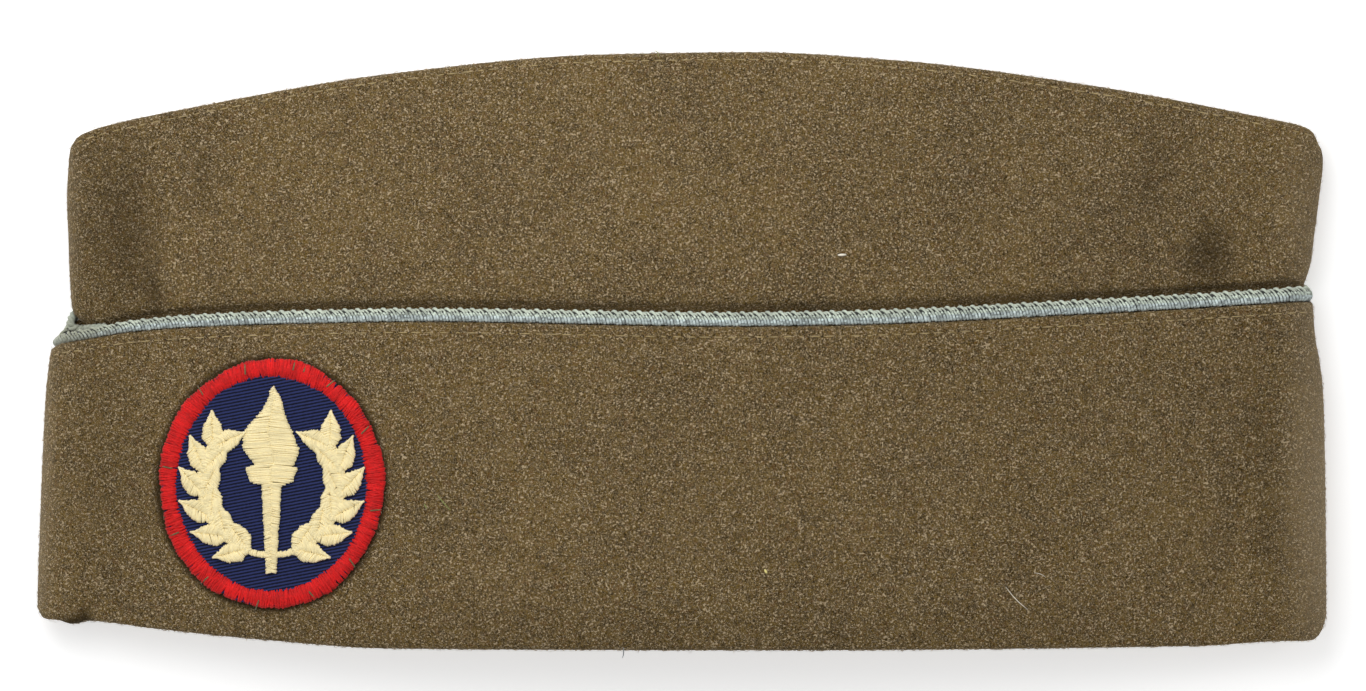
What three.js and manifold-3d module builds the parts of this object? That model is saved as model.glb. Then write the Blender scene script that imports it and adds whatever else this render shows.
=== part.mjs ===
// Garrison cap in wool cloth, lying on its right side as it is put away.
// Millimetres. X runs along the cap with its front at -X, Y goes from the open rim up to the ridge,
// and Z goes up from the surface that the cap lies on, so the wearer's left side faces up.
// Every cloth piece is a sheet that is laid out by columns along the cap. A place on a sheet is
// given by its column, its Y and its inset, the depth below the outer face of the whole cap.
import * as THREE from "three";
import { mergeVertices } from "three/addons/utils/BufferGeometryUtils.js";
import Module from "manifold-3d";

const { clamp, degToRad, lerp, smoothstep } = THREE.MathUtils;

// Whole cap, as it lies
const LENGTH = 292;
const HEIGHT = 135;
const RIM_THICKNESS = 27;
const RIDGE_GAP = 2.9;
const END_ROOM = 5.1;
const FOLD_ROOM = 2;

// Cloth and seams
const CROWN_CLOTH = 2;
const CURTAIN_CLOTH = 2.4;
const GUSSET_CLOTH = 2;
const PLY_GAP = 0.3;
const SEAM_GAP = 0.3;
const EDGE_EASE = 0.5;
const RIM_ROUND = 1.2;
const RIDGE_ROUND = 1.4;
const RIDGE_LIP = 2.5;
const CREASE_GAP = 0.4;
const GUSSET_DEPTH = 34;
const CROWN_SWELL = 1;
const RIGHT_RIDGE_DROP = 0.8;
const CORNER_ROOM = 1.6;

// Braided piping
const PIPING_HEIGHT = 3.2;
const PIPING_DEPTH = 2.5;

// Round patch on the left curtain
const PATCH_WIDTH = 50.5;
const PATCH_HEIGHT = 55.7;
const PATCH_FROM_FRONT = 53.5;
const PATCH_FROM_RIM = 37.5;
const PATCH_CLOTH = 1;
const BORDER_WIDTH = 3.7;
const BORDER_THICKNESS = 1.8;
const EMBLEM_THICKNESS = 1;
const EMBLEM_SHARE = 0.78;

// Mesh steps
const FOLD_STEPS = 5;
const MAIN_STEPS = 20;
const CURTAIN_ROWS = 7;
const FOOT_ROWS = 4;
const LIP_ROWS = 5;
const PIPING_RUNGS = 4;
const GUSSET_ROWS = 5;
const PATCH_STEPS = 32;
const STEM_STEPS = 7;

// Shape of the roundings and of the gusset: where a rounding's middle point stands, in shares of its
// radius, how flat the gusset's crease is, in shares of its cloth, how fast the gusset tapers, and how
// far it stays from the ends, in shares of its first step
const ROUND_MIDDLE = 0.3;
const CREASE_FLAT = 0.4;
const GUSSET_TAPER = 0.8;
const GUSSET_START = 0.25;

// Heights at which the piping and the ridge's corners are placed along the cap, in shares of the height,
// and how high up in the end room the front and back seams lie
const PIPING_LEVEL = 0.55;
const CORNER_LEVEL = 0.85;
const SEAM_LEVEL = 0.3;

// Insets of the plies, from the outer face of the cap inwards
const CROWN_INSET = CURTAIN_CLOTH + PLY_GAP;
const LIP_DEPTH = CROWN_CLOTH + PLY_GAP + GUSSET_CLOTH;
const LIP_INSET = CROWN_INSET + LIP_DEPTH;
const FOOT_INSET = CROWN_INSET + CROWN_CLOTH;
const FOLD_REACH = LIP_INSET + FOLD_ROOM;

// Heights of the outer face above the lying surface, at the ends and at the middle of the cap
const RIM_END = 2 * FOOT_INSET + END_ROOM;
const RIM_SEAM = FOOT_INSET + SEAM_LEVEL * END_ROOM;
const RIDGE_END = CROWN_INSET + 2 * LIP_DEPTH + CREASE_GAP;
const RIDGE_SEAM = LIP_DEPTH + CREASE_GAP / 2;
const RIDGE_MIDDLE = CROWN_INSET + 2 * LIP_DEPTH + RIDGE_GAP;
const ARCH_EASE = 0.04;

// Edges of the cap in shares: "at" of the length from the front, "height" of the height from the rim
const RIDGE_LINE = [
  { at: 0.0256, height: 0.848 },
  { at: 0.029, height: 0.859 },
  { at: 0.035, height: 0.8655 },
  { at: 0.126, height: 0.91 },
  { at: 0.281, height: 0.966 },
  { at: 0.436, height: 0.996 },
  { at: 0.553, height: 1 },
  { at: 0.669, height: 0.986 },
  { at: 0.824, height: 0.942 },
  { at: 0.964, height: 0.885 },
  { at: 0.985, height: 0.875 },
  { at: 0.991, height: 0.868 },
  { at: 0.9946, height: 0.848 },
];
const RIM_LINE = [
  { at: 0, height: 0.062 },
  { at: 0.004, height: 0.05 },
  { at: 0.026, height: 0.0445 },
  { at: 0.0876, height: 0.036 },
  { at: 0.165, height: 0.019 },
  { at: 0.28, height: 0.0025 },
  { at: 0.59, height: 0.0005 },
  { at: 0.9, height: 0.0059 },
  { at: 0.96, height: 0.0134 },
  { at: 0.99, height: 0.0145 },
  { at: 0.9953, height: 0.0227 },
  { at: 1, height: 0.048 },
];
const PIPING_LEFT = [
  { at: 0.0116, height: 0.5126 },
  { at: 0.033, height: 0.5326 },
  { at: 0.08, height: 0.5467 },
  { at: 0.2, height: 0.557 },
  { at: 0.436, height: 0.5563 },
  { at: 0.53, height: 0.5533 },
  { at: 0.623, height: 0.557 },
  { at: 0.809, height: 0.5748 },
  { at: 0.979, height: 0.597 },
];
const PIPING_RIGHT = [
  { at: 0.0116, height: 0.5126 },
  { at: 0.019, height: 0.53 },
  { at: 0.028, height: 0.562 },
  { at: 0.045, height: 0.575 },
  { at: 0.2, height: 0.572 },
  { at: 0.53, height: 0.56 },
  { at: 0.809, height: 0.5748 },
  { at: 0.979, height: 0.597 },
];

// Insets of the front and back folds from the ends of the cap, in shares of its length
const CURTAIN_OUTLINE = [
  { height: 0.1, front: 0, back: 0 },
  { height: 0.28, front: 0.0031, back: 0.0008 },
  { height: 0.42, front: 0.0062, back: 0.0023 },
  { height: 0.485, front: 0.0093, back: 0.0054 },
  { height: 0.52, front: 0.0125, back: 0.0085 },
  { height: 0.6, front: 0.014, back: 0.0112 },
];
const CROWN_OUTLINE = [
  { height: 0.5, front: 0.031, back: 0.0206 },
  { height: 0.552, front: 0.0295, back: 0.0206 },
  { height: 0.612, front: 0.0252, back: 0.0206 },
  { height: 0.63, front: 0.0247, back: 0.0156 },
  { height: 0.69, front: 0.0237, back: 0.0101 },
  { height: 0.755, front: 0.0225, back: 0.0054 },
  { height: 0.82, front: 0.024, back: 0.0023 },
  { height: 0.85, front: 0.0258, back: 0.005 },
];

// Where the crown leaves the curtain's outline for its own, and where its right side sags to the floor
const FRONT_TUCK = { from: 0.47, to: 0.55 };
const BACK_TUCK = { from: 0.55, to: 0.605 };
const RIGHT_SAG = { from: 0.615, to: 0.8 };
const SEAM_DROP = { from: 0.55, to: 0.84 };

// How full the cap is between its ridge, 0, and its rim, 1, by share of the way up
const FULLNESS = [
  { height: 0, full: 1 },
  { height: 0.3, full: 0.95 },
  { height: 0.55, full: 0.84 },
  { height: 0.75, full: 0.52 },
  { height: 0.9, full: 0.21 },
  { height: 1, full: 0 },
];

// Soft dents in the upper side. Place and spread are shares of the length and of the height,
// depth is a share of the rim's thickness, and a negative depth stands proud.
const DENTS = [
  { name: "front crown valley", at: 0.078, height: 0.7, along: 0.012, up: 0.12, turn: 4, depth: 0.045 },
  { name: "back crown dimple", at: 0.911, height: 0.665, along: 0.02, up: 0.05, turn: -20, depth: 0.04 },
  { name: "back crown dip", at: 0.868, height: 0.79, along: 0.016, up: 0.07, turn: -14, depth: 0.022 },
  { name: "back curtain valley", at: 0.93, height: 0.24, along: 0.014, up: 0.2, turn: -9, depth: 0.03 },
  { name: "back curtain swell", at: 0.785, height: 0.12, along: 0.05, up: 0.09, turn: 0, depth: -0.022 },
  { name: "middle curtain dip", at: 0.7, height: 0.38, along: 0.04, up: 0.12, turn: 25, depth: 0.018 },
];

const WOOL = { color: 0x6f5f40, roughness: 0.95, metalness: 0 };
const WOOL_SHADED = { color: 0x665840, roughness: 0.95, metalness: 0 };
const BRAID = { color: 0xa0aa9f, roughness: 0.7, metalness: 0 };
const NAVY_TWILL = { color: 0x1e294a, roughness: 0.85, metalness: 0 };
const RED_THREAD = { color: 0xc32827, roughness: 0.6, metalness: 0 };
const CREAM_THREAD = { color: 0xf2dca7, roughness: 0.6, metalness: 0 };

// Smooth curve through the rows of a table that never swings past them
function curveThrough(table, key, value, at) {
  const last = table.length - 1;
  if (at <= table[0][key]) return table[0][value];
  if (at >= table[last][key]) return table[last][value];
  const step = (i) => table[i + 1][key] - table[i][key];
  const secant = (i) => (table[i + 1][value] - table[i][value]) / step(i);
  const slope = (i) => {
    if (i === 0) return secant(0);
    if (i === last) return secant(last - 1);
    const before = secant(i - 1);
    const after = secant(i);
    return before * after <= 0 ? 0 : (2 * before * after) / (before + after);
  };
  const i = table.findIndex((row, index) => index < last && at <= table[index + 1][key]);
  const t = (at - table[i][key]) / step(i);
  const ease = t * t * (3 - 2 * t);
  const swing = t * (1 - t) * ((1 - t) * slope(i) - t * slope(i + 1)) * step(i);
  return lerp(table[i][value], table[i + 1][value], ease) + swing;
}

const shareOfLength = (x) => (x + LENGTH / 2) / LENGTH;
const shareOfHeight = (y) => (y + HEIGHT / 2) / HEIGHT;
const lengthFrom = (share) => share * LENGTH - LENGTH / 2;
const heightFrom = (share) => share * HEIGHT - HEIGHT / 2;

const ridgeAt = (x) => heightFrom(curveThrough(RIDGE_LINE, "at", "height", shareOfLength(x)));
const rimAt = (x) => heightFrom(curveThrough(RIM_LINE, "at", "height", shareOfLength(x)));

function curtainOutline(y) {
  const height = shareOfHeight(y);
  return {
    front: -LENGTH / 2 + LENGTH * curveThrough(CURTAIN_OUTLINE, "height", "front", height),
    back: LENGTH / 2 - LENGTH * curveThrough(CURTAIN_OUTLINE, "height", "back", height),
  };
}

// The crown follows the curtain where it is hidden, and its own outline above the piping
function crownOutline(y) {
  const height = shareOfHeight(y);
  const hidden = curtainOutline(y);
  const shownFront = LENGTH * curveThrough(CROWN_OUTLINE, "height", "front", height) - CROWN_INSET;
  const shownBack = LENGTH * curveThrough(CROWN_OUTLINE, "height", "back", height) - CROWN_INSET;
  return {
    front: lerp(hidden.front, -LENGTH / 2 + shownFront, smoothstep(height, FRONT_TUCK.from, FRONT_TUCK.to)),
    back: lerp(hidden.back, LENGTH / 2 - shownBack, smoothstep(height, BACK_TUCK.from, BACK_TUCK.to)),
  };
}

function dentDepth(x, y) {
  let depth = 0;
  for (const dent of DENTS) {
    const turn = degToRad(dent.turn);
    const dx = x - lengthFrom(dent.at);
    const dy = y - heightFrom(dent.height);
    const across = (dx * Math.cos(turn) + dy * Math.sin(turn)) / (dent.along * LENGTH);
    const up = (dy * Math.cos(turn) - dx * Math.sin(turn)) / (dent.up * HEIGHT);
    depth += dent.depth * RIM_THICKNESS * Math.exp(-across * across - up * up);
  }
  return depth;
}

// Height of the seam that joins the two sides at the front and at the back
function seamHeight(y) {
  return lerp(RIM_SEAM, RIDGE_SEAM, smoothstep(shareOfHeight(y), SEAM_DROP.from, SEAM_DROP.to));
}

// Arch of the upper side between its folds: level at both ends, then close to a parabola
function archAt(share) {
  const inward = Math.min(share, 1 - share);
  const eased = inward - ARCH_EASE * (1 - Math.exp(-inward / ARCH_EASE));
  return 4 * eased * (1 - eased);
}

// Outer face of the upper side, at a share of the way between its front and back folds
function leftFace(share, x, y) {
  const wayUp = clamp((y + HEIGHT / 2) / (ridgeAt(x) + HEIGHT / 2), 0, 1);
  const full = curveThrough(FULLNESS, "height", "full", wayUp);
  const end = lerp(RIDGE_END, RIM_END, full);
  const middle = lerp(RIDGE_MIDDLE, RIM_THICKNESS, full);
  return lerp(end, middle, archAt(share)) - dentDepth(x, y);
}

// Outer face of the lower side: flat, and let down on the floor where no curtain is under it
function rightFace(y) {
  return -CROWN_INSET * smoothstep(shareOfHeight(y), RIGHT_SAG.from, RIGHT_SAG.to);
}

// Columns of a side: an angle round the front fold, a share of the way between, and round the back fold
function sideColumns() {
  const columns = [];
  const foldAngle = (i) => (i / FOLD_STEPS) * (Math.PI / 2);
  for (let i = 0; i < FOLD_STEPS; i++) columns.push({ end: -1, angle: foldAngle(i) });
  for (let i = 0; i <= MAIN_STEPS; i++) {
    const even = i / MAIN_STEPS;
    const crowded = (1 - Math.cos(Math.PI * even)) / 2;
    columns.push({ end: 0, share: (even + crowded) / 2 });
  }
  for (let i = FOLD_STEPS - 1; i >= 0; i--) columns.push({ end: 1, angle: foldAngle(i) });
  return columns;
}

// Distance of a column along the cap, on the outer face
function columnX(column, outline, inset = 0) {
  if (column.end === 0) return lerp(outline.front + FOLD_REACH, outline.back - FOLD_REACH, column.share);
  const centre = column.end < 0 ? outline.front + FOLD_REACH : outline.back - FOLD_REACH;
  return centre + column.end * (FOLD_REACH - inset) * Math.cos(column.angle);
}

// Point of a side's ply: left faces up, right lies on the floor, and they meet at the seam
function plyPoint(side, column, y, inset, outlineAt, { seamGap = SEAM_GAP, swell = 0 } = {}) {
  const outline = outlineAt(y);
  const x = columnX(column, outline, inset);
  const faceShare = column.end === 0 ? column.share : (column.end + 1) / 2;
  const seam = seamHeight(y);
  const face = side === "left" ? leftFace(faceShare, x, y) + swell : rightFace(y);
  if (column.end === 0) return new THREE.Vector3(x, y, side === "left" ? face - inset : face + inset);
  const up = side === "left" ? 1 : -1;
  const start = seam + (up * seamGap) / 2;
  const radius = up * (face - start) - inset;
  return new THREE.Vector3(x, y, start + up * radius * Math.sin(column.angle));
}

// Signed volume of a closed mesh
function signedVolume(points, faces) {
  let volume = 0;
  for (const [a, b, c] of faces) {
    volume += points[a].dot(new THREE.Vector3().crossVectors(points[b], points[c])) / 6;
  }
  return volume;
}

function closedGeometry(points, faces) {
  const outward = signedVolume(points, faces) > 0;
  const index = faces.flatMap(([a, b, c]) => (outward ? [a, b, c] : [a, c, b]));
  const geometry = new THREE.BufferGeometry();
  geometry.setAttribute("position", new THREE.Float32BufferAttribute(points.flatMap((p) => p.toArray()), 3));
  geometry.setIndex(index);
  geometry.computeVertexNormals();
  return geometry;
}

// Skin over a row of sections. A section is a pair of rails, outer and inner, with as many points
// on each. The two end faces are ladders between their rails, unless the row closes on itself.
function skin(sections, closesOnItself = false) {
  const rungs = sections[0].outer.length;
  const size = 2 * rungs;
  const points = sections.flatMap(({ outer, inner }) => [...outer, ...[...inner].reverse()]);
  const faces = [];
  const spans = closesOnItself ? sections.length : sections.length - 1;
  for (let i = 0; i < spans; i++) {
    const here = i * size;
    const next = ((i + 1) % sections.length) * size;
    for (let j = 0; j < size; j++) {
      const k = (j + 1) % size;
      faces.push([here + j, here + k, next + k], [here + j, next + k, next + j]);
    }
  }
  if (!closesOnItself) {
    const last = (sections.length - 1) * size;
    for (let j = 0; j < rungs - 1; j++) {
      const across = size - 1 - j;
      faces.push([j, across, j + 1], [j + 1, across, across - 1]);
      faces.push([last + j, last + j + 1, last + across], [last + j + 1, last + across - 1, last + across]);
    }
  }
  return closedGeometry(points, faces);
}

// Sheet of one side from the two rails of its section at each column, in insets and heights
function sheet(side, outlineAt, sectionAt, swellAt = () => 0) {
  return skin(sideColumns().map((column) => {
    const place = ({ inset, y }) => {
      const swell = swellAt(column, y);
      return plyPoint(side, column, y, inset, outlineAt, { swell });
    };
    const { outer, inner } = sectionAt(column);
    return { outer: outer.map(place), inner: inner.map(place) };
  }));
}

function rows(count, from, to) {
  return Array.from({ length: count }, (_, i) => lerp(from, to, i / (count - 1)));
}

// Height of the piping's centre at a column
function pipingHeight(side, column) {
  const x = columnX(column, curtainOutline(heightFrom(PIPING_LEVEL)));
  const table = side === "left" ? PIPING_LEFT : PIPING_RIGHT;
  return heightFrom(curveThrough(table, "at", "height", shareOfLength(x)));
}

// Height where the crown comes out above the piping
function tuckHeight(side, column) {
  return pipingHeight(side, column) + PIPING_HEIGHT / 2 + PLY_GAP;
}

// Height of the curtain's bottom fold
function rimHeight(column) {
  return rimAt(columnX(column, curtainOutline(-HEIGHT / 2)));
}

function ridgeHeight(side, column) {
  const x = columnX(column, crownOutline(heightFrom(CORNER_LEVEL)), CROWN_INSET);
  return ridgeAt(x) - (side === "left" ? 0 : RIGHT_RIDGE_DROP);
}

// Turn-up band: its bottom edge turns in under the crown's, and the piping sits on its top edge
function curtain(side) {
  return sheet(side, curtainOutline, (column) => {
    const bottom = rimHeight(column);
    const top = pipingHeight(side, column) - PIPING_HEIGHT / 2 - PLY_GAP;
    const footTop = bottom + CURTAIN_CLOTH;
    const outer = [
      { inset: FOOT_INSET, y: bottom + EDGE_EASE },
      { inset: FOOT_INSET - EDGE_EASE, y: bottom },
      { inset: RIM_ROUND, y: bottom },
      { inset: ROUND_MIDDLE * RIM_ROUND, y: bottom + ROUND_MIDDLE * RIM_ROUND },
      ...rows(CURTAIN_ROWS, bottom + RIM_ROUND, top - EDGE_EASE).map((y) => ({ inset: 0, y })),
      { inset: EDGE_EASE, y: top },
    ];
    const inner = [
      ...rows(FOOT_ROWS, FOOT_INSET, CURTAIN_CLOTH).slice(0, -1).map((inset) => ({ inset, y: footTop })),
      ...rows(CURTAIN_ROWS + 1, footTop, top - EDGE_EASE).map((y) => ({ inset: CURTAIN_CLOTH, y })),
      { inset: CURTAIN_CLOTH - EDGE_EASE, y: top },
    ];
    return { outer, inner };
  });
}

// Crown rows in shares of the way up: under the curtain, and from the piping's top to the ridge
const HIDDEN_ROWS = [0, 0.4, 0.75, 0.88, 1];
const SHOWN_ROWS = [0.1, 0.25, 0.45, 0.7, 1];

function crownRows(bottom, tuck, top) {
  const hidden = HIDDEN_ROWS.map((share) => lerp(bottom, tuck, share));
  return [...hidden, ...SHOWN_ROWS.map((share) => lerp(tuck, top, share))];
}

// Side panel: it stands on the curtain's foot, and its ridge edge is turned in over the gusset
function crownPanel(side) {
  const swellAt = (column, y) => {
    if (side !== "left") return 0;
    const from = tuckHeight(side, column);
    const t = clamp((y - from) / (ridgeHeight(side, column) - from), 0, 1);
    return CROWN_SWELL * 4 * t * (1 - t);
  };
  return sheet(side, crownOutline, (column) => {
    const cornerRoom = column.end === 0 ? 0 : CORNER_ROOM;
    const bottom = rimHeight(column) + CURTAIN_CLOTH + PLY_GAP + cornerRoom;
    const ridge = ridgeHeight(side, column);
    const tuck = tuckHeight(side, column);
    const lipUnder = ridge - RIDGE_LIP;
    const outer = [
      ...crownRows(bottom, tuck, ridge - RIDGE_ROUND).map((y) => ({ inset: CROWN_INSET, y })),
      { inset: CROWN_INSET + ROUND_MIDDLE * RIDGE_ROUND, y: ridge - ROUND_MIDDLE * RIDGE_ROUND },
      { inset: CROWN_INSET + RIDGE_ROUND, y: ridge },
      { inset: LIP_INSET - EDGE_EASE, y: ridge },
      { inset: LIP_INSET, y: ridge - EDGE_EASE },
    ];
    const inner = [
      ...crownRows(bottom, tuck, lipUnder).map((y) => ({ inset: FOOT_INSET, y })),
      ...rows(LIP_ROWS, FOOT_INSET, LIP_INSET).slice(1).map((inset) => ({ inset, y: lipUnder })),
    ];
    return { outer, inner };
  }, swellAt);
}

// Top inset: a V of cloth between the two side panels, deepest at the middle of the cap
function gusset() {
  const shares = sideColumns().filter((column) => column.end === 0).map((column) => column.share);
  const first = GUSSET_START * shares[1];
  return skin([first, ...shares.slice(1, -1), 1 - first].map(gussetSection));
}

function gussetSection(share) {
  const column = { end: 0, share };
  const inset = FOOT_INSET + PLY_GAP;
  const half = CREASE_GAP / 2;
  const leftTop = ridgeHeight("left", column) - RIDGE_LIP - PLY_GAP;
  const rightTop = ridgeHeight("right", column) - RIDGE_LIP - PLY_GAP;
  const crease = leftTop - GUSSET_DEPTH * Math.sin(Math.PI * share) ** GUSSET_TAPER;
  const leftZ = plyPoint("left", column, leftTop, inset, crownOutline).z;
  const rightZ = plyPoint("right", column, rightTop, inset, crownOutline).z;
  const room = leftZ - rightZ - 2 * GUSSET_CLOTH - CREASE_GAP;
  const floor = plyPoint("right", column, crease - GUSSET_CLOTH, inset, crownOutline).z;
  const creaseZ = floor + GUSSET_CLOTH + half + Math.max(0, room / 2);
  const arm = (top, topZ, bottomZ) => rows(GUSSET_ROWS, 0, 1).map((t) => ({
    y: lerp(top, crease, t),
    z: lerp(topZ, bottomZ, t),
  }));
  const under = crease - GUSSET_CLOTH;
  const fold = crease - half;
  const outer = [
    ...arm(leftTop, leftZ, creaseZ + half + GUSSET_CLOTH),
    { y: under, z: creaseZ + half + CREASE_FLAT * GUSSET_CLOTH },
    { y: under, z: creaseZ - half - CREASE_FLAT * GUSSET_CLOTH },
    ...arm(rightTop, rightZ, creaseZ - half - GUSSET_CLOTH).reverse(),
  ];
  const inner = [
    ...arm(leftTop, leftZ - GUSSET_CLOTH, creaseZ + half),
    { y: fold, z: creaseZ + half / 2 },
    { y: fold, z: creaseZ - half / 2 },
    ...arm(rightTop, rightZ + GUSSET_CLOTH, creaseZ - half).reverse(),
  ];
  const place = ({ y, z }) => new THREE.Vector3(columnX(column, crownOutline(y)), y, z);
  return { outer: outer.map(place), inner: inner.map(place) };
}

// Piping: one closed loop round the top edges of both curtains
function piping() {
  const columns = sideColumns();
  const centreInset = CURTAIN_CLOTH / 2;
  const ring = (side, column) => {
    const place = (angle) => {
      const y = pipingHeight(side, column) + (PIPING_HEIGHT / 2) * Math.sin(angle);
      const inset = centreInset - (PIPING_DEPTH / 2) * Math.cos(angle);
      return plyPoint(side, column, y, inset, curtainOutline, { seamGap: 0 });
    };
    const step = Math.PI / PIPING_RUNGS;
    const angles = rows(PIPING_RUNGS, -Math.PI / 2 + step / 2, Math.PI / 2 - step / 2);
    return { outer: angles.map(place), inner: angles.map((angle) => place(Math.PI - angle)) };
  };
  const left = columns.map((column) => ring("left", column));
  const right = columns.slice(1, -1).reverse().map((column) => ring("right", column));
  return skin([...left, ...right], true);
}

// Patch: everything on it is laid out flat round its middle, then draped over the curtain
const PATCH_X = -LENGTH / 2 + PATCH_FROM_FRONT;
const PATCH_Y = -HEIGHT / 2 + PATCH_FROM_RIM;

function curtainTop(x, y) {
  const { front, back } = curtainOutline(y);
  const share = (x - front - FOLD_REACH) / (back - front - 2 * FOLD_REACH);
  return leftFace(share, x, y);
}

function drape(x, y, lift) {
  return new THREE.Vector3(PATCH_X + x, PATCH_Y + y, curtainTop(PATCH_X + x, PATCH_Y + y) + PLY_GAP + lift);
}

function onPatch(angle, inFromEdge, lift) {
  const x = (PATCH_WIDTH / 2 - inFromEdge) * Math.cos(angle);
  const y = (PATCH_HEIGHT / 2 - inFromEdge) * Math.sin(angle);
  return drape(x, y, lift);
}

// Section of the border: insets in shares of its width, lifts in shares of its thickness
const BORDER_TOP = [
  { inset: 0, lift: 0.5 },
  { inset: 0.25, lift: 0.92 },
  { inset: 0.6, lift: 1 },
  { inset: 1, lift: 0.5 },
];
const BORDER_UNDER = [
  { inset: 0.05, lift: 0 },
  { inset: 0.3, lift: 0 },
  { inset: 0.65, lift: 0 },
  { inset: 0.95, lift: 0 },
];

function patchBorder() {
  const sections = Array.from({ length: PATCH_STEPS }, (_, i) => {
    const angle = (i / PATCH_STEPS) * Math.PI * 2;
    const place = ({ inset, lift }) => onPatch(angle, inset * BORDER_WIDTH, lift * BORDER_THICKNESS);
    return { outer: BORDER_TOP.map(place), inner: BORDER_UNDER.map(place) };
  });
  return skin(sections, true);
}

// Rings of the ground disc from the innermost to its edge, in shares of the way in from the edge
const GROUND_RINGS = [0.667, 0.333, 0];

// Ground disc: rings of points on its top and its underside, and a point in the middle of each
function patchGround() {
  const edge = BORDER_WIDTH + PLY_GAP;
  const radius = PATCH_WIDTH / 2 - edge;
  const insets = GROUND_RINGS.map((share) => edge + share * radius);
  const points = [drape(0, 0, 0), drape(0, 0, PATCH_CLOTH)];
  const middles = points.length;
  const faces = [];
  const ringStart = (level, ring) => middles + (level * insets.length + ring) * PATCH_STEPS;
  for (const lift of [0, PATCH_CLOTH]) {
    for (const inset of insets) {
      for (let i = 0; i < PATCH_STEPS; i++) {
        const angle = (i / PATCH_STEPS) * Math.PI * 2;
        points.push(onPatch(angle, inset, lift));
      }
    }
  }
  const band = (a, b, flip) => {
    for (let i = 0; i < PATCH_STEPS; i++) {
      const k = (i + 1) % PATCH_STEPS;
      const quad = [[a + i, b + i, b + k], [a + i, b + k, a + k]];
      for (const [p, q, r] of quad) faces.push(flip ? [p, r, q] : [p, q, r]);
    }
  };
  for (const level of [0, 1]) {
    const flip = level === 0;
    const inner = ringStart(level, 0);
    for (let i = 0; i < PATCH_STEPS; i++) {
      const k = (i + 1) % PATCH_STEPS;
      faces.push(flip ? [level, inner + k, inner + i] : [level, inner + i, inner + k]);
    }
    for (let ring = 1; ring < insets.length; ring++) {
      band(ringStart(level, ring - 1), ringStart(level, ring), flip);
    }
  }
  const outer = insets.length - 1;
  band(ringStart(1, outer), ringStart(0, outer), false);
  return closedGeometry(points, faces);
}

const wasm = await Module();
wasm.setup();

function solidFrom(geometry) {
  const bare = geometry.clone();
  bare.deleteAttribute("normal");
  bare.deleteAttribute("uv");
  const merged = mergeVertices(bare, 1e-4);
  return new wasm.Manifold(new wasm.Mesh({
    numProp: 3,
    vertProperties: new Float32Array(merged.attributes.position.array),
    triVerts: new Uint32Array(merged.index.array),
  }));
}

// Emblem: a torch between two laurel branches, a plain figure in shares of the patch's own size
const TORCH = [
  { up: -0.93, half: 0.05 },
  { up: -0.02, half: 0.1 },
  { up: 0.02, half: 0.22 },
  { up: 0.16, half: 0.27 },
  { up: 0.18, half: 0.2 },
  { up: 0.36, half: 0.29 },
  { up: 0.54, half: 0.25 },
  { up: 0.74, half: 0.12 },
  { up: 0.98, half: 0.02 },
];
const LEAF = [
  { along: -0.05, wide: 0.15 },
  { along: 0.3, wide: 1 },
  { along: 0.65, wide: 0.85 },
  { along: 1, wide: 0 },
  { along: 0.65, wide: -0.85 },
  { along: 0.3, wide: -1 },
  { along: -0.05, wide: -0.15 },
];
const LEAVES_A_BRANCH = 6;
const LEAF_LEAN = degToRad(34);
const STEM_WIDEN = 1.07;
const LEAF_LENGTH = 0.36;
const LEAF_HALF = 0.11;
const BRANCH_RADIUS = 0.72;
const BRANCH_END = degToRad(36);

// Where a branch's first and last pairs of leaves grow, in shares of the way along it
const FIRST_LEAF = 0.16;
const LAST_LEAF = 0.97;

function flatPlate(corners) {
  const shape = new THREE.Shape(corners.map(([x, y]) => new THREE.Vector2(x, y)));
  return new THREE.ExtrudeGeometry(shape, { depth: EMBLEM_THICKNESS, bevelEnabled: false });
}

function branchPoint(t, side) {
  const angle = lerp(-Math.PI / 2, BRANCH_END, t);
  return [side * BRANCH_RADIUS * Math.cos(angle), BRANCH_RADIUS * Math.sin(angle)];
}

function emblemPlates() {
  const unit = (EMBLEM_SHARE * PATCH_HEIGHT) / 2;
  const scaled = (corners) => flatPlate(corners.map(([x, y]) => [x * unit, y * unit]));
  const right = TORCH.map(({ up, half }) => [half, up]);
  const left = TORCH.map(({ up, half }) => [-half, up]).reverse();
  const plates = [scaled([...right, ...left])];
  for (const side of [-1, 1]) {
    const stem = rows(STEM_STEPS, 0, 1).map((t) => branchPoint(t, side));
    const outer = stem.map(([x, y]) => [x * STEM_WIDEN, y * STEM_WIDEN]);
    plates.push(scaled([...stem, ...outer.reverse()]));
    for (let i = 0; i < LEAVES_A_BRANCH; i++) {
      const t = lerp(FIRST_LEAF, LAST_LEAF, i / (LEAVES_A_BRANCH - 1));
      const [x, y] = branchPoint(t, side);
      const run = lerp(0, BRANCH_END + Math.PI / 2, t);
      for (const lean of [-LEAF_LEAN, LEAF_LEAN]) {
        const angle = run + lean;
        const leaf = LEAF.map(({ along, wide }) => {
          const a = along * LEAF_LENGTH;
          const w = wide * LEAF_HALF;
          return [
            x + side * (a * Math.cos(angle) - w * Math.sin(angle)),
            y + a * Math.sin(angle) + w * Math.cos(angle),
          ];
        });
        plates.push(scaled(leaf));
      }
    }
  }
  return plates;
}

function patchEmblem() {
  const joined = emblemPlates().map(solidFrom).reduce((all, plate) => all.add(plate));
  const mesh = joined.getMesh();
  const points = [];
  for (let i = 0; i < mesh.vertProperties.length; i += mesh.numProp) {
    const [x, y, z] = mesh.vertProperties.slice(i, i + 3);
    points.push(drape(x, y, z + PATCH_CLOTH + PLY_GAP));
  }
  const faces = [];
  for (let i = 0; i < mesh.triVerts.length; i += 3) faces.push(Array.from(mesh.triVerts.slice(i, i + 3)));
  return closedGeometry(points, faces);
}

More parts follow.
